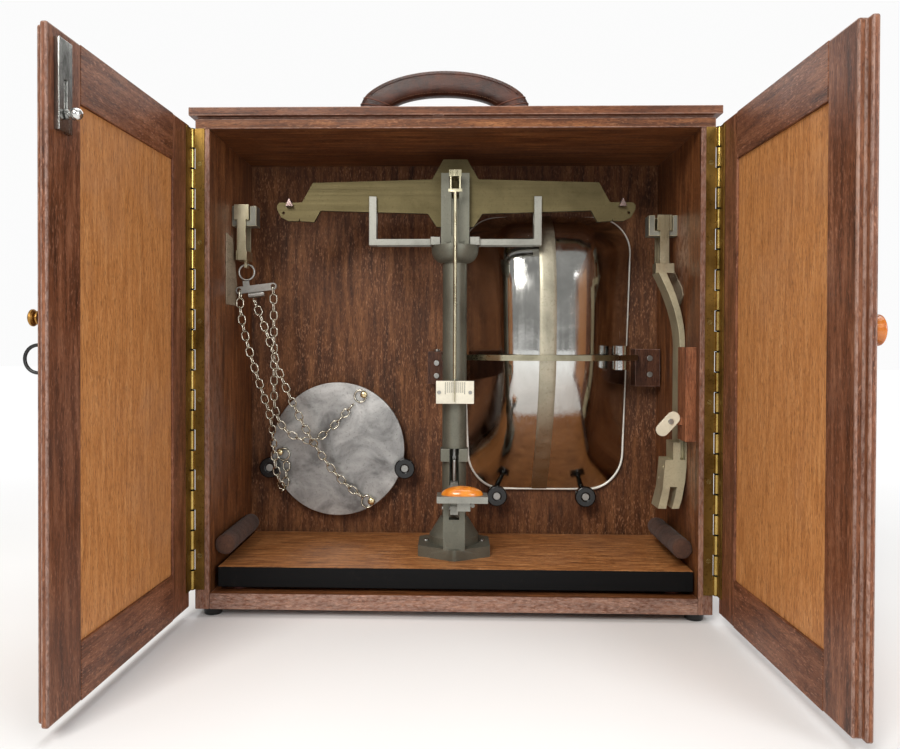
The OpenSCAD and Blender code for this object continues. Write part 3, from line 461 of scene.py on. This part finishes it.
# ---------------------------------------------------------------- mesh helpers
def weigh(me):
    """Corner normals weighted by face area, so a broad flat face keeps flat shading beside its softened edges."""
    hard = {tuple(e.vertices) for e, s in zip(me.edges, me.attributes["sharp_edge"].data) if s.value} if "sharp_edge" in me.attributes else set()
    around = [[] for _ in me.vertices]
    ends = {}
    for p in me.polygons:
        vs = list(p.vertices)
        for k, v in enumerate(vs):
            around[v].append(p.index)
            a, b = v, vs[(k + 1) % len(vs)]
            ends.setdefault((min(a, b), max(a, b)), []).append(p.index)
    nrm = [p.normal.copy() for p in me.polygons]
    size = [p.area for p in me.polygons]
    res = {}
    touch = [[] for _ in me.vertices]
    for (a, b), ps in ends.items():
        if len(ps) == 2 and (a, b) not in hard:
            touch[a].append(ps)
            touch[b].append(ps)
    for v, ps in enumerate(around):
        group = {p: p for p in ps}

        def top(p):
            while group[p] != p:
                p = group[p]
            return p
        for p, q in touch[v]:
            group[top(p)] = top(q)
        acc = {}
        for p in ps:
            g = top(p)
            acc[g] = acc.get(g, Vector((0, 0, 0))) + nrm[p] * size[p]
        for p in ps:
            n = acc[top(p)]
            res[(v, p)] = n.normalized() if n.length > 0 else nrm[p]
    out = []
    for p in me.polygons:
        for v in p.vertices:
            out.append(res[(v, p.index)])
    me.normals_split_custom_set(out)


def put(name, bm, mats, body, slot=None, smooth=40, node=None):
    me = bpy.data.meshes.new(name)
    bm.normal_update()
    bm.to_mesh(me)
    bm.free()
    for m in (mats if isinstance(mats, (list, tuple)) else [mats]):
        me.materials.append(m)
    for p in me.polygons:
        p.use_smooth = True
    if smooth < 180:
        me.set_sharp_from_angle(angle=math.radians(smooth))
        weigh(me)
    ob = bpy.data.objects.new(name, me)
    bpy.context.scene.collection.objects.link(ob)
    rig.ride(ob, body)
    if slot:
        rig.slot(ob, slot)
    if node:
        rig.replaces(ob, *(node if isinstance(node, (list, tuple)) else [node]))
    return ob


def islands(bm):
    seen, out = set(), []
    for v in bm.verts:
        if v in seen:
            continue
        stack, part = [v], []
        seen.add(v)
        while stack:
            a = stack.pop()
            part.append(a)
            for e in a.link_edges:
                b = e.other_vert(a)
                if b not in seen:
                    seen.add(b)
                    stack.append(b)
        out.append(part)
    return out


def cad_bm(node):
    src = NODES[node].data
    me = bpy.data.meshes.new("tmp")
    me.from_pydata([v.co[:] for v in src.vertices], [], [tuple(p.vertices) for p in src.polygons])
    bm = bmesh.new()
    bm.from_mesh(me)
    bpy.data.meshes.remove(me)
    bmesh.ops.remove_doubles(bm, verts=bm.verts, dist=2e-6)
    return bm


def dress(node, mats, r=0.5, seg=2, smooth=38, paint_by=None):
    """The CAD piece with its sharp edges softened; bevelled faces take the second material."""
    bm = cad_bm(node)
    bmesh.ops.dissolve_limit(bm, angle_limit=math.radians(0.4), verts=bm.verts, edges=bm.edges)
    for part in islands(bm):
        vs = set(part)
        ed = {e for v in part if v.is_valid for e in v.link_edges
              if len(e.link_faces) == 2 and e.calc_face_angle(0) > math.radians(32)}
        if ed and r:
            try:
                bmesh.ops.bevel(bm, geom=list(ed), offset=r / 1000, segments=seg, profile=0.5,
                                affect="EDGES", clamp_overlap=True, material=1 if isinstance(mats, (list, tuple)) and len(mats) > 1 else -1)
            except Exception as err:
                print("bevel", node, err)
    if paint_by:
        bm.normal_update()
        for f in bm.faces:
            k = paint_by(f)
            if k is not None:
                f.material_index = k
    return put(node + ".look", bm, mats, BODY[node], SLOT[node], smooth, node)


def lathe(bm, prof, centre, axis, n=48, mat=0):
    """Adds a turned solid; prof is [(radius, along)], millimetres in case coordinates."""
    ax = Vector(axis).normalized()
    u = ax.orthogonal().normalized()
    w = ax.cross(u)
    rows = []
    for (r, a) in prof:
        c = Vector(centre) + ax * a
        if r < 1e-6:
            rows.append([bm.verts.new(C(*c))])
        else:
            rows.append([bm.verts.new(C(*(c + (u * math.cos(2 * math.pi * k / n) + w * math.sin(2 * math.pi * k / n)) * r))) for k in range(n)])
    for a, b in zip(rows, rows[1:]):
        for k in range(n):
            l = (k + 1) % n
            if len(a) == 1 and len(b) == 1:
                continue
            if len(a) == 1:
                f = bm.faces.new((a[0], b[k], b[l]))
            elif len(b) == 1:
                f = bm.faces.new((a[k], b[0], a[l]))
            else:
                f = bm.faces.new((a[k], b[k], b[l], a[l]))
            f.material_index = mat
    return bm


def grid_shell(outer, inner):
    """Closed shell between two equal grids of points in case millimetres."""
    bm = bmesh.new()
    A = [[bm.verts.new(C(*p)) for p in row] for row in outer]
    B = [[bm.verts.new(C(*p)) for p in row] for row in inner]
    R, K = len(A), len(A[0])
    for i in range(R - 1):
        for j in range(K - 1):
            bm.faces.new((A[i][j], A[i][j + 1], A[i + 1][j + 1], A[i + 1][j]))
            bm.faces.new((B[i][j], B[i + 1][j], B[i + 1][j + 1], B[i][j + 1]))
    ring = [(0, j) for j in range(K)] + [(i, K - 1) for i in range(1, R)] + [(R - 1, j) for j in range(K - 2, -1, -1)] + [(i, 0) for i in range(R - 2, 0, -1)]
    for a, b in zip(ring, ring[1:] + ring[:1]):
        bm.faces.new((A[b[0]][b[1]], A[a[0]][a[1]], B[a[0]][a[1]], B[b[0]][b[1]]))
    bmesh.ops.recalc_face_normals(bm, faces=bm.faces)
    return bm


def tube(bm, pts, r, n=8, closed=False, mat=0, side=None):
    """Round wire along points in case millimetres."""
    P = [Vector(p) for p in pts]
    m = len(P)
    rings = []
    up = Vector((0, 0, 1)) if side is None else Vector(side)
    for k in range(m):
        a = P[(k - 1) % m] if closed or k else P[0]
        b = P[(k + 1) % m] if closed or k < m - 1 else P[-1]
        d = (b - a).normalized()
        x = up - d * up.dot(d)
        if x.length < 1e-3:
            x = d.orthogonal()
        x.normalize()
        up = x
        y = d.cross(x)
        rr = r[k] if isinstance(r, list) else r
        rings.append([bm.verts.new(C(*(P[k] + (x * math.cos(2 * math.pi * q / n) + y * math.sin(2 * math.pi * q / n)) * rr))) for q in range(n)])
    for k in range(m if closed else m - 1):
        a, b = rings[k], rings[(k + 1) % m]
        for q in range(n):
            f = bm.faces.new((a[q], a[(q + 1) % n], b[(q + 1) % n], b[q]))
            f.material_index = mat
    if not closed:
        for g, flip in ((rings[0], True), (rings[-1], False)):
            f = bm.faces.new(list(reversed(g)) if flip else g)
            f.material_index = mat
    return bm


def box_bm(bm, x0, x1, y0, y1, z0, z1, mat=0):
    v = [bm.verts.new(C(x, y, z)) for x in (x0, x1) for y in (y0, y1) for z in (z0, z1)]
    for f in ((0, 1, 3, 2), (4, 6, 7, 5), (0, 4, 5, 1), (2, 3, 7, 6), (0, 2, 6, 4), (1, 5, 7, 3)):
        q = bm.faces.new([v[k] for k in f])
        q.material_index = mat
    return bm


# ---------------------------------------------------------------- case and doors
# front faces of a board take the rubbed-edge wood, except the outermost strip by the hinge, which keeps the darker wall
# wood as painted shade behind the hinge gaps
def front(f):
    c = f.calc_center_median()
    if abs(c.x - C(0, 0, 0).x) > 0.2480:
        return 0
    return 1 if f.normal.y < -0.6 else None


def outer(f):
    c = f.calc_center_median()
    h = C(-252.5 if c.x < 0 else 252.5, -1.5, 0)
    return None if math.hypot(c.x - h.x, c.y - h.y) > 0.215 else 0


# knuckle faces take the lighter brass (painted highlight), all other hinge faces the darker leaf brass (painted shade)
def knuckles(f):
    c = f.calc_center_bounds()
    for sgn in (-1, 1):
        h = C(sgn * 252.5, -1.5, 0)
        if math.hypot(c.x - h.x, c.y - h.y) < 0.0040:
            return 0
    return 1


dress("case_left_side", [M["wall_l"], M["case_edge"]], 0.9, paint_by=front)
dress("case_right_side", [M["wall_r"], M["case_edge"]], 0.9, paint_by=front)
dress("case_bottom", [M["case_h"], M["case_edge_h"]], 1.0, paint_by=front)
dress("case_top", [M["case_h"], M["case_edge_h"]], 1.0)
dress("case_back", [M["case_back"]], 0.3)
dress("lid_board", [M["lid"], M["case_edge_h"]], 2.2, 3)
for d in ("left", "right"):
    dress(d + "_door_stiles", [M["frame_v"], M["frame_edge"]], 1.6, 3, paint_by=outer)
    dress(d + "_door_rails", [M["frame_y"]], 0.5)
    dress(d + "_door_panel", [M["panel"]], 0.3)
    dress(d + "_door_leaf", [M["knuckle"], M["leafbrass"]], 0.25, 2, paint_by=knuckles)
dress("case_hinge_leaves", [M["knuckle"], M["leafbrass"]], 0.25, 2, paint_by=knuckles)
dress("hinge_pins", [M["pinbrass"]], 0.0)
dress("case_feet", [M["rubber"]], 1.4, 3)
dress("handle_lugs", [M["brass"]], 0.4)
dress("strap_blocks", [M["block"], M["block_edge"]], 0.6)
dress("carrier_cleat", [M["cleat"]], 0.8)
dress("wall_pads", [M["pad"]], 0.4)
dress("hanger_brackets", [M["darkpaint"], M["cream"]], 0.5)
dress("wall_studs", [M["rubber"]], 1.8, 4)
dress("wall_fixings", [M["steel"]], 0.4)
dress("turn_button", [M["button"]], 0.7, 3)
dress("bolt_plate", [M["bolt"]], 0.3)
dress("bolt_slide", [M["chrome"]], 0.3)
dress("left_door_knob", [M["knobbrass"]], 0.3)
dress("door_pull", [M["wire"]], 0.0)
dress("right_door_knob", [M["amber_knob"]], 2.2, 4)
dress("pan_strap", [M["strap"]], 0.25)
dress("strap_clamp", [M["chrome"]], 0.5)

# ---------------------------------------------------------------- stand
dress("base_board", [M["board"], M["board"], M["board_edge"]], 1.0, 2,
      paint_by=lambda f: 2 if (abs(f.normal.z) < 0.5 or f.normal.z < -0.5) else 0)
dress("board_feet", [M["redrub"]], 0.6)
dress("pillar_base", [M["greypaint"], M["lightpaint"]], 0.7)
dress("stand_fasteners", [M["steel"]], 0.2)
dress("pillar_tube", [M["greypaint"]], 0.3)
dress("pillar_collar", [M["greypaint"], M["lightpaint"]], 0.5)
dress("pillar_capital", [M["greypaint"]], 0.4)
dress("relief_arms", [M["lightpaint"]], 0.6)
dress("thumb_lever", [M["lightpaint"]], 0.7)
dress("thumb_button", [M["amber"]], 0.5)
dress("lifting_rod", [M["steel"]], 0.2)
dress("bearing_fork", [M["greypaint"], M["lightpaint"]], 0.5)
dress("beam", [M["bronze"]], 0.5)
dress("beam_knives", [M["hard"]], 0.1, 1)
dress("pointer", [M["pointer"]], 0.25)
dress("index_plate", [M["ivory"]], 0.3)
dress("stirrup_left", [M["hanger"]], 0.5)
dress("stirrup_right", [M["hanger"]], 0.5)
dress("chain_yoke", [M["steel"]], 0.4)
dress("weight_plate", [M["plate"]], 0.7, 3)
dress("plate_studs", [M["gold"]], 0.0)
dress("carrier_arm", [M["cream"]], 0.6)
dress("carrier_fork", [M["cream"]], 0.6)

# graduations of the index plate
bm = bmesh.new()
for k in range(11):
    x = 2 - 10 + 2 * k + 0.5
    h = 12.5 if k % 5 == 0 else 11.0
    box_bm(bm, x - 0.25, x + 0.25, 51.50, 51.62, 220.2 - h, 220.2)
put("index_marks", bm, M["black"], "stand", "ivory_plastic")

# ---------------------------------------------------------------- goods pan
PW, PH, PR, PXC, PZC, RIM, DEEP, WALL, DX = 97.0, 157.25, 42.0, 107.0, 248.8, 160.0, 87.0, 1.6, 100.0


def pan_v(z):
    return 1 - (-z) ** 1.6 if z < 0 else max(0.0, 1 - z ** 4.2) ** 0.5


def half_w(z, wid, hh, r):
    t = 1 - 0.051 * (0.76 - z)
    a = abs(z * hh)
    return t * (wid if a <= hh - r else wid - r + math.sqrt(max(0, r * r - (a - hh + r) ** 2)))


def side_s(u):
    return (u - 0.5 + math.sqrt((u - 0.5) ** 2 + 0.0144)) / 2


def pan_y(x, z, w, deep):
    u = (DX - x) / (DX - PXC + w) if x < DX else (x - DX) / (PXC + w - DX)
    h = (side_s(min(1, u)) - side_s(0)) / (side_s(1) - side_s(0))
    return RIM - deep * pan_v(z) * (1 - h)


def pan_grid(wid, hh, r, deep, R=88, K=72):
    out = []
    for i in range(R + 1):
        z = -math.cos(math.pi * i / R)
        w = half_w(z, wid, hh, r)
        row = []
        for j in range(K + 1):
            x = PXC + w * math.sin(-math.pi / 2 + math.pi * j / K)
            y = RIM if i in (0, R) or j in (0, K) else pan_y(x, z, w, deep)
            row.append((x, y, PZC + z * hh))
        out.append(row)
    return out


g0 = pan_grid(PW, PH, PR, DEEP)
g1 = pan_grid(PW - WALL, PH - WALL, PR - WALL, DEEP - WALL)
put("goods_pan.look", grid_shell(g0, g1), M["mirror"], BODY["goods_pan"], SLOT["goods_pan"], 180, "goods_pan")

# the rolled bead round the pan's mouth, in near-white paint: a painted highlight standing in for the bright reflection
# along the rolled steel edge
edge = [g0[0][j] for j in range(0, 73)] + [g0[i][72] for i in range(1, 89)] + [g0[88][j] for j in range(71, -1, -1)] + [g0[i][0] for i in range(87, 0, -1)]
loop = []
for p in edge:
    q = Vector((p[0], RIM - 0.4, p[2]))
    if not loop or (q - loop[-1]).length > 1.5:
        loop.append(q)
bm = bmesh.new()
cen = Vector((PXC, RIM - 0.4, PZC))
tube(bm, [q + (cen - q).normalized() * 0.9 for q in loop], 1.25, 8, True, side=(0, 1, 0))
put("pan_bead", bm, M["rim"], BODY["goods_pan"], SLOT["goods_pan"], 180)


def band_rows(off, R=88):
    out = []
    for i in range(4, R - 3):
        z = -math.cos(math.pi * i / R)
        w = half_w(z, PW, PH, PR)
        row = []
        for j in range(9):
            x = DX + 17.6 * (j / 8 - 0.5)
            e = 0.5 if j in (0, 8) else 0.0
            row.append((x, pan_y(x, z, w, DEEP) - off + (e if off > 0.5 else 0), PZC + z * PH))
        out.append(row)
    return out


put("pan_band.look", grid_shell(band_rows(1.1), band_rows(0.1)), M["band"], BODY["pan_band"], SLOT["pan_band"], 60, "pan_band")


# ---------------------------------------------------------------- chains
def bez(p, t):
    a = [(1 - t) ** 3, 3 * (1 - t) ** 2 * t, 3 * (1 - t) * t * t, t ** 3]
    return Vector([sum(a[k] * p[k][c] for k in range(4)) for c in range(3)])


def join(tracks):
    out = []
    for p in tracks:
        out += [bez(p, k / 12) for k in range(13)]
    return out


def walk(q, pitch):
    total = sum((b - a).length for a, b in zip(q, q[1:]))
    for k in range(int(total // pitch) + 1):
        s, i = k * pitch, 0
        while i < len(q) - 2 and s > (q[i + 1] - q[i]).length:
            s -= (q[i + 1] - q[i]).length
            i += 1
        d = q[i + 1] - q[i]
        yield k, q[i] + d * (s / d.length), d.normalized()


CHAINS = [
    [[(-229.6, 88.5, 311.7), (-231, 86, 285), (-219, 91, 245), (-203.5, 101, 192)],
     [(-203, 101.8, 190), (-197, 105, 170), (-199.5, 115, 150), (-200.5, 126, 133)],
     [(-200.5, 126.4, 131), (-200.2, 127.4, 122), (-197.4, 128.4, 108), (-194, 136.8, 95)],
     [(-193.7, 137.8, 94), (-192.6, 141, 86), (-190, 142.2, 104), (-190.3, 142.5, 121)]],
    [[(-193.6, 88.5, 316.2), (-194.5, 97, 280), (-195.5, 100, 240), (-197.5, 110, 200)],
     [(-197.6, 111, 198), (-199, 118, 170), (-184, 128, 152), (-163, 133, 149.5)],
     [(-162, 133.2, 149.4), (-150, 136, 149.5), (-135, 139.5, 165), (-113, 142.3, 191)]],
    [[(-213, 88.5, 302.9), (-206, 87, 285), (-196, 86, 262), (-190, 95, 233)],
     [(-189.6, 96, 231), (-182, 103, 208), (-172, 114, 180), (-156.6, 125, 149)],
     [(-156, 125.6, 148), (-143, 133, 123), (-124, 139, 98), (-104.5, 141.6, 86)]],
]
bm = bmesh.new()
shape = []
for k in range(28):
    a = 2 * math.pi * k / 28
    shape.append(Vector((3.65 * math.cos(a), 0, 3.65 * math.sin(a) + (1.55 if math.sin(a) >= 0 else -1.55))))
for tracks in CHAINS:
    for k, p, d in walk(join(tracks), 9.0):
        rx, ry = math.asin(max(-1, min(1, -d.y))), math.atan2(d.x, d.z)
        m = Matrix.Rotation(ry, 3, "Y") @ Matrix.Rotation(rx, 3, "X") @ Matrix.Rotation(math.pi / 2 * ((k + 1) % 2), 3, "Z")
        tube(bm, [p + m @ s for s in shape], 0.86, 8, True, side=m @ Vector((0, 1, 0)))
for (x, z) in ((-194, 132.2), (-105.7, 199.5), (-97.2, 78.8)):
    tube(bm, [(x + 6.8 * math.cos(2 * math.pi * k / 36), 143.9, z + 6.8 * math.sin(2 * math.pi * k / 36)) for k in range(36)], 0.9, 8, True, side=(0, 1, 0))
put("suspension_chains.look", bm, M["chain"], BODY["suspension_chains"], SLOT["suspension_chains"], 180, "suspension_chains")

# ---------------------------------------------------------------- felt rolls
for s, nm in ((-1, "left"), (1, "right")):
    bm = bmesh.new()
    prof = [(0.0, 0.0), (5.0, 0.25), (8.0, 1.0), (9.4, 2.4), (10.0, 4.6)]
    prof += [(10.05 - 0.25 * abs(math.sin(k * 0.9)) - (0.2 if k % 5 == 0 else 0), 4.6 + k * 3.3) for k in range(1, 31)]
    prof += [(9.4, 106.0), (8.0, 107.2), (5.0, 108.0), (0.0, 108.3)]
    lathe(bm, prof, (s * 225.8, 15, 59), (0, 1, 0), 48)
    bmesh.ops.recalc_face_normals(bm, faces=bm.faces)
    for v in bm.verts:
        h = math.sin(v.co.y * 260 + v.co.x * 900) * math.sin(v.co.z * 700 + v.co.y * 90)
        c = C(s * 225.8, 0, 59)
        rad = Vector((v.co.x - c.x, 0, v.co.z - c.z))
        v.co -= rad * 0.02 * (0.5 + 0.5 * h)
    ob = put("wall_roll_" + nm, bm, M["felt"], BODY["wall_rolls"], SLOT["wall_rolls"], 180, "wall_rolls" )
    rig.padded(ob, fill=0.9)

# ---------------------------------------------------------------- leather handle
HX, HY, PIV = -10.0, 84.0, 494.0


def arch(a, b, t):
    return HX + a * math.cos(t), PIV + 9 + b * math.sin(t)


NSEC = 26


def grip_ring(k, grow=0.0):
    """One cross-section of the grip; k runs 0 to 60 from the left end to the right."""
    t = math.pi * (1 - k / 60)
    ox, oz = arch(93, 45.5, t)
    ix, iz = arch(59, 18.6, t)
    c = Vector(((ox + ix) / 2, HY, (oz + iz) / 2))
    h = Vector(((ox - ix) / 2, 0, (oz - iz) / 2))
    ends = min(k, 60 - k)
    plump = 0.80 + 0.20 * min(1, ends / 9)
    wide = 11.3 * (0.72 + 0.28 * min(1, ends / 10))
    out = []
    for q in range(NSEC):
        a = 2 * math.pi * q / NSEC
        u = math.copysign(abs(math.cos(a)) ** 0.72, math.cos(a)) * (plump + grow / h.length)
        w = math.copysign(abs(math.sin(a)) ** 0.72, math.sin(a))
        out.append(c + h * u + Vector((0, (wide + grow) * w, 0)))
    return out


bm = bmesh.new()
rings = [[bm.verts.new(C(*p)) for p in grip_ring(k)] for k in range(61)]
for a, b in zip(rings, rings[1:]):
    for q in range(NSEC):
        bm.faces.new((a[q], b[q], b[(q + 1) % NSEC], a[(q + 1) % NSEC]))
bm.faces.new(rings[0])
bm.faces.new(list(reversed(rings[-1])))
bmesh.ops.recalc_face_normals(bm, faces=bm.faces)
put("carry_handle.look", bm, M["leather"], BODY["carry_handle"], SLOT["carry_handle"], 60, "carry_handle")

# cut edges of the folded leather near both ends
bm = bmesh.new()
for k, off in ((3.2, 0.1), (4.6, 0.1), (7.4, 0.1), (52.6, 0.1), (55.4, 0.1), (56.8, 0.1)):
    tube(bm, grip_ring(k, off), 0.62, 6, True, side=(0.2, 1, 0.1))
put("handle_edges", bm, M["leather_edge"], BODY["carry_handle"], SLOT["carry_handle"], 180)

# leather end loops over the lugs
bm = bmesh.new()
for s in (-86, 66):
    for (x0, x1) in ((s - 10.8, s - 3.1), (s + 3.1, s + 10.8)):
        outline = [(HY - 5.9, PIV + 11)] + [(HY - 5.9 * math.cos(a), PIV - 5.9 * math.sin(a)) for a in [math.pi * k / 12 for k in range(13)]] + [(HY + 5.9, PIV + 11)]
        fa = [bm.verts.new(C(x0, y, z)) for y, z in outline]
        fb = [bm.verts.new(C(x1, y, z)) for y, z in outline]
        bm.faces.new(fa)
        bm.faces.new(list(reversed(fb)))
        for k in range(len(outline)):
            l = (k + 1) % len(outline)
            bm.faces.new((fa[k], fb[k], fb[l], fa[l]))
bmesh.ops.recalc_face_normals(bm, faces=bm.faces)
bmesh.ops.bevel(bm, geom=[e for e in bm.edges if len(e.link_faces) == 2 and e.calc_face_angle(0) > 0.8], offset=0.0012, segments=3, profile=0.5, affect="EDGES", clamp_overlap=True)
put("handle_end_loops", bm, M["leather"], BODY["carry_handle"], SLOT["carry_handle"], 45)

# raised seam along both faces of the grip, with stitches beside it
bm = bmesh.new()
bs = bmesh.new()
for side in (-1, 1):
    for fr, thick in ((0.80, 0), (0.62, 0.55), (-0.80, 0)):
        pts = []
        for k in range(9, 52):
            t = math.pi * (1 - k / 60)
            ox, oz = arch(93, 45.5, t)
            ix, iz = arch(59, 18.6, t)
            w = max(0.0, 1 - abs(fr) ** (2 / 0.72)) ** 0.36
            pts.append(Vector(((ox + ix) / 2 + (ox - ix) / 2 * fr, HY + side * 11.3 * w, (oz + iz) / 2 + (oz - iz) / 2 * fr)))
        if thick:
            tube(bm, pts, thick, 8, side=(0, 1, 0))
            continue
        for a, b in zip(pts, pts[1:]):
            m, d = (a + b) / 2, (b - a)
            h = d.normalized() * min(1.3, d.length * 0.34)
            tube(bs, [m - h, m, m + h], [0.2, 0.42, 0.2], 6, side=(0, 1, 0))
put("handle_seams", bm, M["leather"], BODY["carry_handle"], SLOT["carry_handle"], 180)
put("handle_stitches", bs, M["thread"], BODY["carry_handle"], SLOT["carry_handle"], 180)


# ---------------------------------------------------------------- hinge screws
def screw(bm, centre, axis, r, h, slot_dir, n=24):
    """Countersunk head with a real slot: two half discs."""
    ax = Vector(axis).normalized()
    u = Vector(slot_dir).normalized()
    w = ax.cross(u)
    c = Vector(centre)
    for sgn in (-1, 1):
        g = 0.16 * r
        a0 = math.asin(g / r)
        ang = [a0 + (math.pi - 2 * a0) * k / (n // 2) for k in range(n // 2 + 1)]
        top = [c + ax * h + (u * math.cos(a) + w * (sgn * math.sin(a))) * r * 0.9 for a in ang]
        bot = [c + (u * math.cos(a) + w * (sgn * math.sin(a))) * r for a in ang]
        vt = [bm.verts.new(C(*p)) for p in top]
        vb = [bm.verts.new(C(*p)) for p in bot]
        bm.faces.new(vt)
        bm.faces.new(list(reversed(vb)))
        for k in range(len(ang)):
            l = (k + 1) % len(ang)
            bm.faces.new((vt[k], vb[k], vb[l], vt[l]))


HXX, HYY = 252.5, -1.5
zs = [19.5 + 33 + 76 * k for k in range(6)]
for body, sgn in (("case", -1), ("case", 1)):
    bm = bmesh.new()
    for k, z in enumerate(zs):
        screw(bm, (sgn * (HXX - 7.4), -1.3, z), (0, -1, 0), 2.3, 0.15, (math.cos(k * 1.3), 0, math.sin(k * 1.3)))
    bmesh.ops.recalc_face_normals(bm, faces=bm.faces)
    put("hinge_screws_case_" + ("l" if sgn < 0 else "r"), bm, M["brass"], body, "aged_brass", 30)
for body, sgn, opened in (("left_door", -1, 92.43), ("right_door", 1, 91.3)):
    bm = bmesh.new()
    th = math.radians(-opened if sgn < 0 else opened)
    rot = Matrix.Rotation(th, 3, "Z")
    for k, z in enumerate(zs):
        p = rot @ Vector((-sgn * 7.4, -0.2, 0))
        n = rot @ Vector((0, 1, 0))
        s = rot @ Vector((math.cos(k * 0.9), 0, 0)) + Vector((0, 0, math.sin(k * 0.9)))
        screw(bm, (sgn * HXX + p.x, HYY + p.y, z), n, 2.3, 0.15, s)
    bmesh.ops.recalc_face_normals(bm, faces=bm.faces)
    put("hinge_screws_" + body, bm, M["brass"], body, "aged_brass", 30)

# ---------------------------------------------------------------- stage, light, camera
scene = bpy.context.scene
me = bpy.data.meshes.new("floor")
S = 9.0
me.from_pydata([(-S, -S, 0), (S, -S, 0), (S, S, 0), (-S, S, 0)], [], [(0, 1, 2, 3)])
floor = bpy.data.objects.new("floor", me)
scene.collection.objects.link(floor)
ft = Tree("floor_pale")
fn = ft.noise(ft.mapping(3, 3, 3), 1.0, 2, 0.5)
fd = ft.n.new("ShaderNodeVectorMath")
fd.operation = "LENGTH"
ft.link(ft.mapping(1, 1, 1, loc=(0, -0.1, 0)), fd.inputs[0])
far = ft.grey(fd.outputs["Value"], 0.55, 0.0, 1.25, 1.0)
near = ft.ramp(fn, [(0.3, (0.88, 0.88, 0.88, 1)), (0.7, (0.91, 0.91, 0.91, 1))])
base = ft.mix(far, near, (0.02, 0.02, 0.02, 1))
ft.b.inputs["Emission Color"].default_value = (0.97, 0.97, 0.97, 1)
ft.link(far, ft.b.inputs["Emission Strength"])
floor.data.materials.append(ft.out(base, 0.8))
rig.stage(floor)

world = bpy.data.worlds.new("studio")
scene.world = world
world.use_nodes = True
wn = world.node_tree.nodes
wl = world.node_tree.links
bg = wn["Background"]
bg.inputs["Color"].default_value = (0.78, 0.77, 0.75, 1)
bg.inputs["Strength"].default_value = 0.42
bg2 = wn.new("ShaderNodeBackground")
bg2.inputs["Color"].default_value = (0.97, 0.97, 0.97, 1)
bg2.inputs["Strength"].default_value = 1.0
lp = wn.new("ShaderNodeLightPath")
mx = wn.new("ShaderNodeMixShader")
wl.new(lp.outputs["Is Camera Ray"], mx.inputs[0])
wl.new(bg.outputs[0], mx.inputs[1])
wl.new(bg2.outputs[0], mx.inputs[2])
wl.new(mx.outputs[0], wn["World Output"].inputs["Surface"])


def area(name, loc, target, size, power, color=(1, 1, 1), sy=None):
    l = bpy.data.lights.new(name, "AREA")
    l.shape = "RECTANGLE"
    l.size = size
    l.size_y = sy or size
    l.energy = power
    l.color = color
    o = bpy.data.objects.new(name, l)
    o.location = loc
    o.rotation_euler = (Vector(target) - Vector(loc)).to_track_quat("-Z", "Y").to_euler()
    scene.collection.objects.link(o)
    return o


area("key", (-0.70, -1.80, 1.45), (0, 0.1, 0.20), 0.8, 36, (1.0, 0.975, 0.93), 0.9)
area("fill", (1.30, -1.60, 0.80), (0, 0.1, 0.22), 0.9, 17, (0.99, 0.99, 1.0))
area("top", (0.0, 0.1, 2.3), (0, 0.05, 0.2), 1.6, 22)
area("back", (0.0, 2.2, 1.6), (0, 0.1, 0.3), 1.8, 20)

f_px, yaw, pitch, roll = 808.05, math.radians(1.527), math.radians(0.638), math.radians(0.204)
cam = bpy.data.cameras.new("camera")
cam.sensor_fit = "HORIZONTAL"
cam.sensor_width = 36
cam.lens = f_px / 900 * 36
cam.shift_x = 0.0194
cam.shift_y = -0.0215
cam.clip_start = 0.01
fwd = Vector((-math.sin(yaw) * math.cos(pitch), math.cos(yaw) * math.cos(pitch), -math.sin(pitch)))
right = Vector((math.cos(yaw), math.sin(yaw), 0))
up = right.cross(fwd)
r2 = right * math.cos(roll) + up * math.sin(roll)
u2 = up * math.cos(roll) - right * math.sin(roll)
co = bpy.data.objects.new("camera", cam)
co.matrix_world = Matrix.Translation(C(1.42, -777.94, 257.01)) @ Matrix((r2, u2, -fwd)).transposed().to_4x4()
scene.collection.objects.link(co)
scene.camera = co
scene.view_settings.view_transform = "Standard"

now_lo, now_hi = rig.bounds()
with open("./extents.json", "w") as fh:
    json.dump({"cad": [list(cad_lo), list(cad_hi)], "visual": [list(now_lo), list(now_hi)]}, fh)
